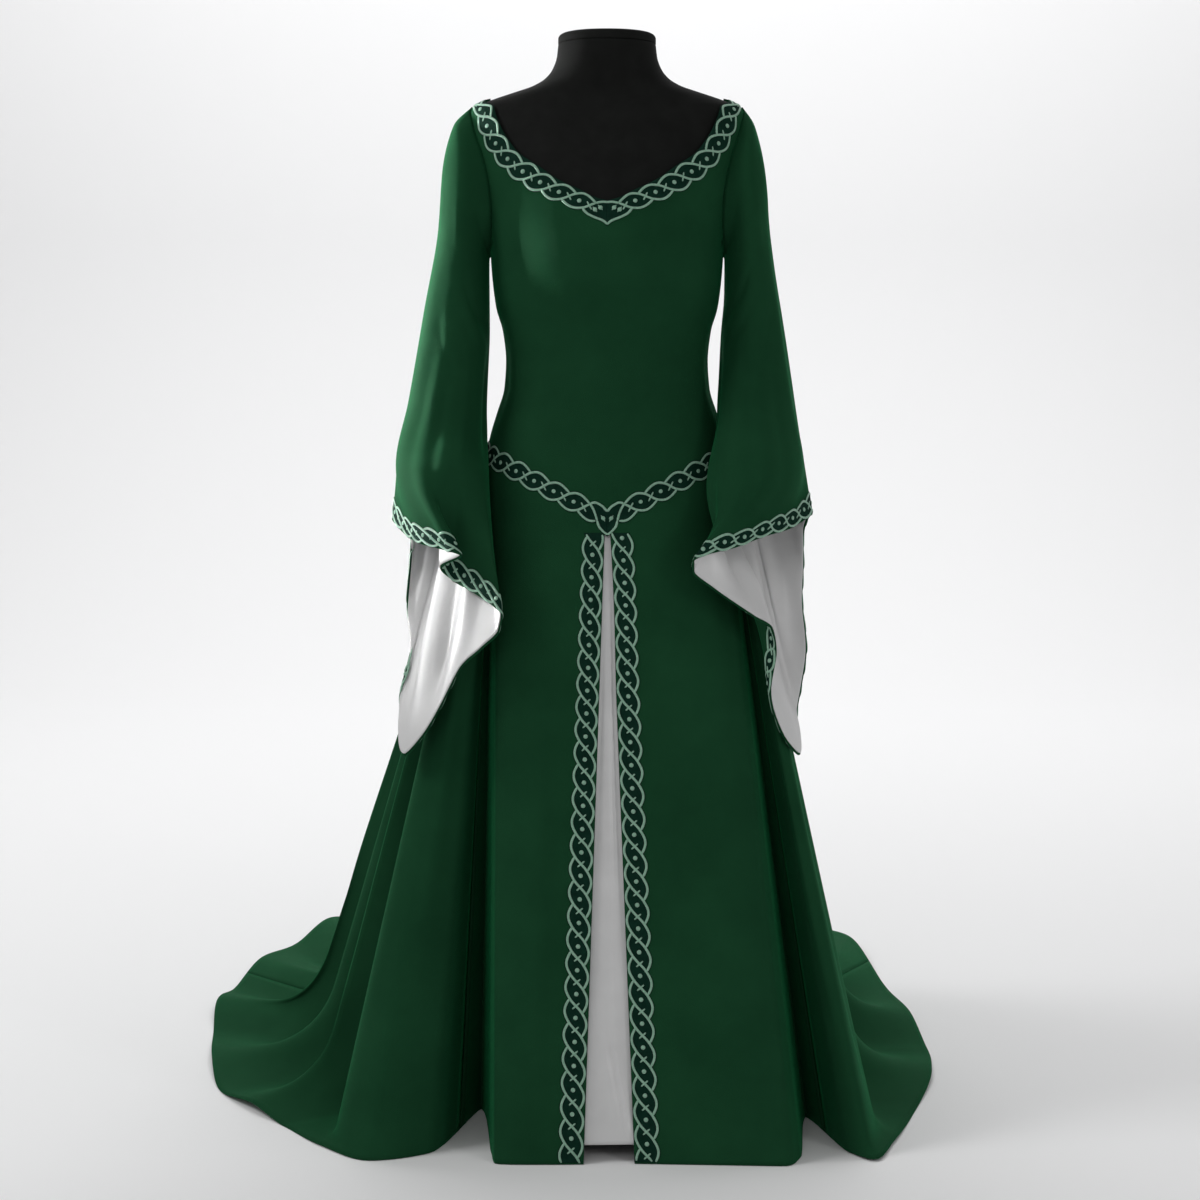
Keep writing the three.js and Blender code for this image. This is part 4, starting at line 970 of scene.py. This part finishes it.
# The pattern in band coordinates: s along the band, t across it from -16 to 16. A strand starts at
# a node on one edge, bulges out round an arc, crosses to the other edge and bulges round that one.
REPEAT = 29.6
NODE = 8.4
BULGE = 14.2
CROSSING = 0.65
STROKE_WIDTH = 3.2
STROKE_HEIGHT = 0.85
GROUND_MARGIN = 2.4
GROUND_LOW = 0.15
GROUND_HIGH = 0.75
STRAND_STEPS = 26
CORD_PROFILE = [(-0.5, 0), (-0.37, 0.6), (0, 1), (0.37, 0.6), (0.5, 0)]
DOT_RADIUS = 3.0
DOT_SIDES = 12
DOT_MARGIN = 3
# The threads' feet are sunk a little into the ground.
THREAD_FOOT = GROUND_HIGH - 0.05
LOOP_STROKE = {"along": 3.6, "across": 4.4, "width": 2.2}
MOTIF_STROKE = {"along": 3.0, "across": 2.6, "width": 1.8}
BAND_STEPS = 7
BAND_PLACES = np.linspace(-BAND_WIDTH / 2, BAND_WIDTH / 2, BAND_STEPS)
GROUND_STEP = 1.6
GROUND_COLUMNS = 9
FRONT_BAND_TOP = 4
FRONT_BAND_INSET = 0.6
FRONT_BAND_ROWS = 330
FRONT_PHASES = {"left": 0.15, "right": 0.4}


def make_band(points, normals, closed):
    """A band surface: a grid of points and normals with its distances along."""
    if closed:
        points = np.concatenate([points, points[:1]])
        normals = np.concatenate([normals, normals[:1]])
    along = distances(points[:, points.shape[1] // 2])
    return {"points": points, "normals": normals, "along": along, "closed": closed}


def band_at(band, s, t):
    """The point and normal of a band at some places, between the four nearest grid points."""
    along, across = band["along"], BAND_PLACES
    if band["closed"]:
        s = s % along[-1]
    i = np.clip(np.searchsorted(along, s, side="right") - 1, 0, len(along) - 2)
    j = np.clip(np.searchsorted(across, t, side="right") - 1, 0, len(across) - 2)
    a = ((s - along[i]) / (along[i + 1] - along[i]))[..., None]
    b = ((t - across[j]) / (across[j + 1] - across[j]))[..., None]

    def between(grid):
        return mix(mix(grid[i, j], grid[i + 1, j], a), mix(grid[i, j + 1], grid[i + 1, j + 1], a), b)

    return between(band["points"]), unit(between(band["normals"]))


def arc(s, start, repeat):
    return NODE + (BULGE - NODE) * np.abs(np.sin(np.pi * (s - start) / repeat))


def strand(start, repeat):
    """The places of one strand that starts at an edge node."""
    s = np.linspace(0, 2 + CROSSING, STRAND_STEPS + 1) * repeat
    slope = (BULGE - NODE) * np.pi / repeat
    share = np.clip(s / repeat - 1, 0, CROSSING) / CROSSING
    ease = slope * CROSSING * repeat
    crossing = hermite(share, -NODE, ease, NODE, ease)
    first = -arc(s, 0, repeat)
    second = arc(s, CROSSING * repeat, repeat)
    t = np.where(s < repeat, first, np.where(s < (1 + CROSSING) * repeat, crossing, second))
    over = 0.35 * np.exp(-((share - 0.5) / 0.35) ** 2)
    return start + s, t, over


class Threads:
    """The points and faces of a band's raised threads."""

    def __init__(self):
        self.points = []
        self.faces = []
        self.count = 0

    def add(self, points, faces):
        self.points.append(points)
        self.faces.extend([[k + self.count for k in face] for face in faces])
        self.count += len(points)

    def cord(self, places, normals, width):
        """A flat cord along some places on the band."""
        side = unit(np.cross(normals, unit(np.gradient(places, axis=0))))
        taper = np.ones(len(places))
        taper[[0, -1]] = 0.6
        rings = np.stack([
            places + side * (w * width * taper)[:, None] + normals * (h * STROKE_HEIGHT * taper)[:, None]
            for w, h in CORD_PROFILE
        ], axis=1)
        self.add(rings.reshape(-1, 3), tube_faces(*rings.shape[:2]))

    def dot(self, band, s, t):
        """A low round dot at a place on the band."""
        (place, ahead), (normal, _) = band_at(band, np.array([s, s + 0.5]), np.full(2, t))
        tangent = unit(ahead - place)
        place = place + normal * THREAD_FOOT
        side = np.cross(normal, tangent)
        turns = np.linspace(0, 2 * np.pi, DOT_SIDES, endpoint=False)
        around = np.cos(turns)[:, None] * tangent + np.sin(turns)[:, None] * side
        rings = [place + around * DOT_RADIUS * r + normal * h for r, h in ((1, 0), (0.8, 0.6), (0.4, 0.95))]
        points = np.concatenate([*rings, [place + normal * 1.05]])
        *faces, rim = tube_faces(len(rings), DOT_SIDES)
        faces += [[rim[k - 1], rim[k], len(points) - 1] for k in range(DOT_SIDES)]
        self.add(points, faces)


def lay(band, threads, s, t, over=0.0, low=0.0, width=STROKE_WIDTH):
    """A cord along pattern places, cut to the band's ends."""
    over = over + 0 * s
    if not band["closed"]:
        inside = (s >= low) & (s <= band["along"][-1])
        s, t, over = s[inside], t[inside], over[inside]
    if len(s) < 2:
        return
    places, normals = band_at(band, s, t)
    threads.cord(places + normals * (THREAD_FOOT + over)[:, None], normals, width)


def short_stroke(band, threads, s, t, size, mirror, steps, over, low=0.0):
    """A short stroke that slants across the band."""
    part = np.linspace(-1, 1, steps)
    lay(band, threads, s + size["along"] * part, t - mirror * size["across"] * part, over, low, size["width"])


def interlace(band, threads, mirror=1, start=0.0, phase=0.0, first=-3):
    """Covers a band with the pattern, from a start to its end."""
    length = band["along"][-1] - start
    repeats = max(round(length / REPEAT), 1)
    repeat = length / repeats
    for k in range(0 if band["closed"] else first, repeats):
        origin = start + (k + phase) * repeat
        s, t, over = strand(origin, repeat)
        outer = origin + (1 + CROSSING) * repeat
        lay(band, threads, s, mirror * t, over, low=min(start, outer) if outer > 0 else start)
        centre = origin + (1 + CROSSING / 2) * repeat
        short_stroke(band, threads, centre, 0.0, LOOP_STROKE, mirror, 7, 0.1, start)
        place = centre + repeat / 2
        if band["closed"] or start + DOT_MARGIN < place < start + length - DOT_MARGIN:
            threads.dot(band, place, 0.0)
    return repeat


def ground(band, mirror, start, repeat, phase, motif=None):
    """The band's cloth, whose edges follow the outer arcs. Returns a grid of points and normals."""
    s = np.arange(0, band["along"][-1], GROUND_STEP)
    if not band["closed"]:
        s = np.append(s, band["along"][-1])
    origin = start + phase * repeat
    first = arc(s, origin, repeat) + GROUND_MARGIN
    second = arc(s, origin + CROSSING * repeat, repeat) + GROUND_MARGIN
    if motif is not None:
        outer, inner = [np.array(line, float).T[:, ::-1] for line in motif["lines"][:2]]
        second = np.where(s < outer[0].max(), smooth_curve(*outer)(s) + GROUND_MARGIN, second)
        first = np.where(s < inner[0].max(), GROUND_MARGIN - smooth_curve(*inner)(s), first)
        first = np.maximum(first, motif["reach"])
    share = np.linspace(0, 1, GROUND_COLUMNS)[None, :]
    low, high = (-first, second) if mirror > 0 else (-second, first)
    t = mix(low[:, None], high[:, None], share)
    return band_at(band, s[:, None] + 0 * t, t)


def finish_band(node, grounds, threads, facing, closed=False):
    """The grounds of one CAD band, each with its own facing, and its threads as one object."""
    pieces = []
    for k, (points, normals) in enumerate(grounds):
        name = f"{node}_ground" + (f"_{k + 1}" if len(grounds) > 1 else "")
        pieces.append(shell(name, points, normals, GROUND_LOW, GROUND_HIGH, BAND_GROUND,
                            closed, facing[k]))
    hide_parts(node)
    points = np.concatenate(threads.points)
    new_object(node + "_interlace", points, threads.faces, BAND_THREAD)
    return pieces


def level_with(edge, v, u):
    """The places down the columns u that are as high as the places v down an edge."""
    height = skirt_point(edge + 0 * v, v)[..., 2]
    level = v
    for _ in range(2):
        here = skirt_point(u, level)[..., 2]
        slope = (skirt_point(u, level + NUDGE)[..., 2] - here) / NUDGE
        level = np.clip(level + (height - here) / np.minimum(slope, -1), 0, 1)
    return level


def front_band(side, edge, direction):
    """The band down one front edge of the skirt."""
    length = skirt_length(np.array([float(edge)]))[0]
    v = np.linspace((BAND_WIDTH / 2 + FRONT_BAND_TOP) / length, 1, FRONT_BAND_ROWS)
    columns = []
    for distance in np.linspace(FRONT_BAND_INSET, BAND_WIDTH + FRONT_BAND_INSET, BAND_STEPS):
        u = step_across(edge, v, direction * distance)
        level = level_with(edge, v, u)
        points = skirt_point(u, level)
        normals = normals_of(skirt_point, u, level, -1)
        lift = CREPE + creases(SKIRT_CREASES, u, level, FOLD_COUNT)
        columns.append((points + normals * lift[:, None], normals))
    if direction < 0:
        columns.reverse()
    points, normals = [np.stack(grids, axis=1) for grids in zip(*columns)]
    band = make_band(points, normals, False)
    threads = Threads()
    phase = FRONT_PHASES[side]
    repeat = interlace(band, threads, 1, 0, phase)
    grounds = [ground(band, 1, 0, repeat, phase)]
    pieces = finish_band("trim_front_" + side, grounds, threads, [1])


def centre_motif(band, threads, motif):
    """Where two halves of a band meet: the outer edge runs to a point and the inner edge dips."""
    for places in motif["lines"]:
        s, t = np.array(places, float).T
        fine = np.linspace(s.max(), 0 if s.min() == 0 else s.min(), 26)
        lay(band, threads, fine, smooth_curve(s[::-1], t[::-1])(fine))
    for place, across in motif["dots"]:
        threads.dot(band, place, across)
        short_stroke(band, threads, place, across, MOTIF_STROKE, 1, 5, 0.05)


def half_band(surface, motif, threads):
    """Pattern and ground of a band that starts at the centre line."""
    band = make_band(*surface, False)
    start = motif["start"]
    repeat = interlace(band, threads, 1, start, 0.0, motif["first"])
    centre_motif(band, threads, motif)
    return ground(band, 1, start, repeat, 0.0, motif)


def neck_surface(rows, sign, behind):
    """The neck band's surface from the centre to the shoulder, from its inner to its outer edge."""
    inner = neck_line(rows, "", SHOULDER_SEAM_TOP)
    outer = neck_line(rows, "band_", BAND_TOP)
    share = np.linspace(0, 1, 120)
    across = np.linspace(0, 1, BAND_STEPS)[None, :, None]
    places = mix(inner(share)[:, None], outer(share)[:, None], across)
    angle, z = np.moveaxis(places, -1, 0)
    angle = sign * (180 - angle if behind else angle)
    return bodice_point(angle, z, behind, CREPE), body_normal(angle, z)


NECK_FRONT_CENTRE = {
    "start": 15.5, "first": -1, "reach": 17.0,
    "lines": [[(34.7, 8.4), (31, 11.6), (26, 13.8), (17, 14.2), (8, 13.7), (3, 14.6), (0, 16.6)],
              [(15.5, -8.4), (12, -10.9), (6, -13.4), (0, -14.4)]],
    "dots": [(9.4, -4.0), (17.0, 2.0)],
}
NECK_BACK_CENTRE = {
    "start": 15.5, "first": -1, "reach": 17.0,
    "lines": [[(34.7, 8.4), (31, 11.4), (26, 13.5), (17, 14.4), (8, 14.4), (0, 14.2)],
              [(15.5, -8.4), (12, -11.2), (6, -13.8), (0, -14.4)]],
    "dots": [(9.4, 0.0)],
}
GIRDLE_CENTRE = {
    "start": 25.0, "first": -2, "reach": 0.0,
    "lines": [[(14.6, 8.4), (13, 12.4), (10.5, 15.8), (5, 18.6), (0, 20.2)],
              [(25, -8.4), (21, -12.2), (15, -14.6), (8, -14.2), (0, -10.6)],
              [(25, -8.4), (21, -4.6), (18, 0.6), (16, 5.0), (14.6, 8.4)]],
    "dots": [(6.0, 1.5)],
}


def build_neck_bands():
    for node, rows, behind, motif, length, area in (
        ("trim_neck_front", NECKLINE_FRONT, False, NECK_FRONT_CENTRE, 0.31, 0.0080),
        ("trim_neck_back", NECKLINE_BACK, True, NECK_BACK_CENTRE, 0.22, 0.0076),
    ):
        threads = Threads()
        grounds = [half_band(neck_surface(rows, sign, behind), motif, threads) for sign in (1, -1)]
        for piece in finish_band(node, grounds, threads, (1, -1) if behind else (-1, 1)):
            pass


FOLD_RANGE = np.linspace(-2, FOLD_COUNT + 2, 4000)


def girdle_surface(angles):
    """The girdle band's surface at some angles, from its upper to its lower edge."""
    z = girdle_height(angles)
    points, normals = [], []
    numbers = np.interp(angles, HIP_ANGLES(FOLD_RANGE), FOLD_RANGE)
    lengths = skirt_length(numbers)
    for part in np.linspace(0, 1, BAND_STEPS):
        drop = (part - 0.5) * BAND_WIDTH
        on_bodice = on_body(angles, z - drop, FORM_CLEARANCE + CREPE)
        v = np.maximum(drop, 0) / lengths
        on_skirt = skirt_point(numbers, v) + body_normal(angles, z) * CREPE
        points.append(on_bodice if drop <= 0 else on_skirt)
        normals.append(body_normal(angles, z - drop))
    return np.stack(points, axis=1), np.stack(normals, axis=1)


def build_girdle():
    threads = Threads()
    grounds = []
    for sign in (1, -1):
        angles = sign * np.linspace(0, 180, 420)
        grounds.append(half_band(girdle_surface(angles), GIRDLE_CENTRE, threads))
    for piece in finish_band("trim_girdle", grounds, threads, (-1, 1)):
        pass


def sleeve_band(name, turns, lengths):
    """The band round a sleeve's hem, from its upper to its lower edge."""
    facing = SIDES[name]
    points, normals = creased_sleeve(
        name, turns, lambda length: np.linspace(1 - BAND_WIDTH / length, 1, BAND_STEPS), lengths)
    band = make_band(points + normals * CREPE, normals, True)
    threads = Threads()
    repeat = interlace(band, threads, -facing)
    grounds = [ground(band, -facing, 0, repeat, 0)]
    pieces = finish_band("trim_sleeve_" + name, grounds, threads, [facing], True)


# Studio

CAMERA_PLACE = (-0.0094, -2.8343, 0.9455)
CAMERA_PITCH = 5.285
CAMERA_LENS = 62.25
WALL_DISTANCE = 5200
WALL_ROUNDING = 1600
PAPER_REACH = 9000
WORLD_STRENGTH = 0.34


def build_camera():
    data = bpy.data.cameras.new("camera")
    data.lens = CAMERA_LENS
    data.sensor_width = 36
    data.clip_end = 50
    camera = add_to_scene("camera", data)
    camera.location = CAMERA_PLACE
    camera.rotation_euler = (math.radians(90 - CAMERA_PITCH), 0, 0)
    bpy.context.scene.camera = camera


def build_backdrop():
    """A paper sweep: the floor, a curve and the wall behind."""
    turn = np.radians(np.linspace(0, 90, 24))
    curve = WALL_DISTANCE - WALL_ROUNDING + WALL_ROUNDING * np.sin(turn)
    y = np.concatenate([[-PAPER_REACH], curve, [WALL_DISTANCE]])
    z = np.concatenate([[0], WALL_ROUNDING * (1 - np.cos(turn)), [PAPER_REACH]])
    points = [(x, yy, zz) for x in (-PAPER_REACH, PAPER_REACH) for yy, zz in zip(y, z)]
    count = len(y)
    faces = [[i, i + count, i + count + 1, i + 1] for i in range(count - 1)]
    mesh_object("studio_sweep", points, faces, STUDIO_PAPER)


LIGHTS = [
    # name, place in metres, what it aims at, width, height, spread in degrees, power in watts
    ("key", (-2.7, -0.5, 3.2), (-0.3, 0.1, 0.7), 1.1, 1.4, 180, 40),
    ("side", (-3.2, 0.8, 1.3), (-0.3, -0.02, 1.08), 0.3, 0.3, 16, 4.0),
    ("front", (-0.7, -4.0, 3.0), (0.0, 0.0, 0.8), 1.6, 1.4, 180, 11),
    ("right", (2.8, -2.8, 1.6), (0.3, -0.1, 0.6), 0.6, 1.2, 180, 14),
    ("wall", (0.2, 2.4, 5.4), (0.3, 5.0, 1.6), 6.0, 2.0, 180, 205),
]


def build_lights():
    for name, place, aim, width, height, spread, power in LIGHTS:
        data = bpy.data.lights.new(name, "AREA")
        data.shape = "RECTANGLE"
        data.size = width
        data.size_y = height
        data.spread = math.radians(spread)
        data.energy = power
        light = add_to_scene(name, data)
        light.location = place
        away = np.array(place) - np.array(aim)
        pitch = math.atan2(math.hypot(away[0], away[1]), away[2])
        light.rotation_euler = (pitch, 0, math.atan2(away[0], -away[1]))
    world = bpy.data.worlds.new("studio")
    world.use_nodes = True
    background = world.node_tree.nodes["Background"]
    background.inputs["Color"].default_value = (1, 1, 1, 1)
    background.inputs["Strength"].default_value = WORLD_STRENGTH
    bpy.context.scene.world = world
    bpy.context.scene.view_settings.view_transform = "Standard"


build_camera()
build_backdrop()
build_lights()
build_form()
build_bodice()
build_skirt()
build_inset()
for sleeve_name in SIDES:
    sleeve_band(sleeve_name, *build_sleeve(sleeve_name))
build_neck_bands()
build_girdle()
front_band("left", LEFT_EDGE, -1)
front_band("right", RIGHT_EDGE, 1)
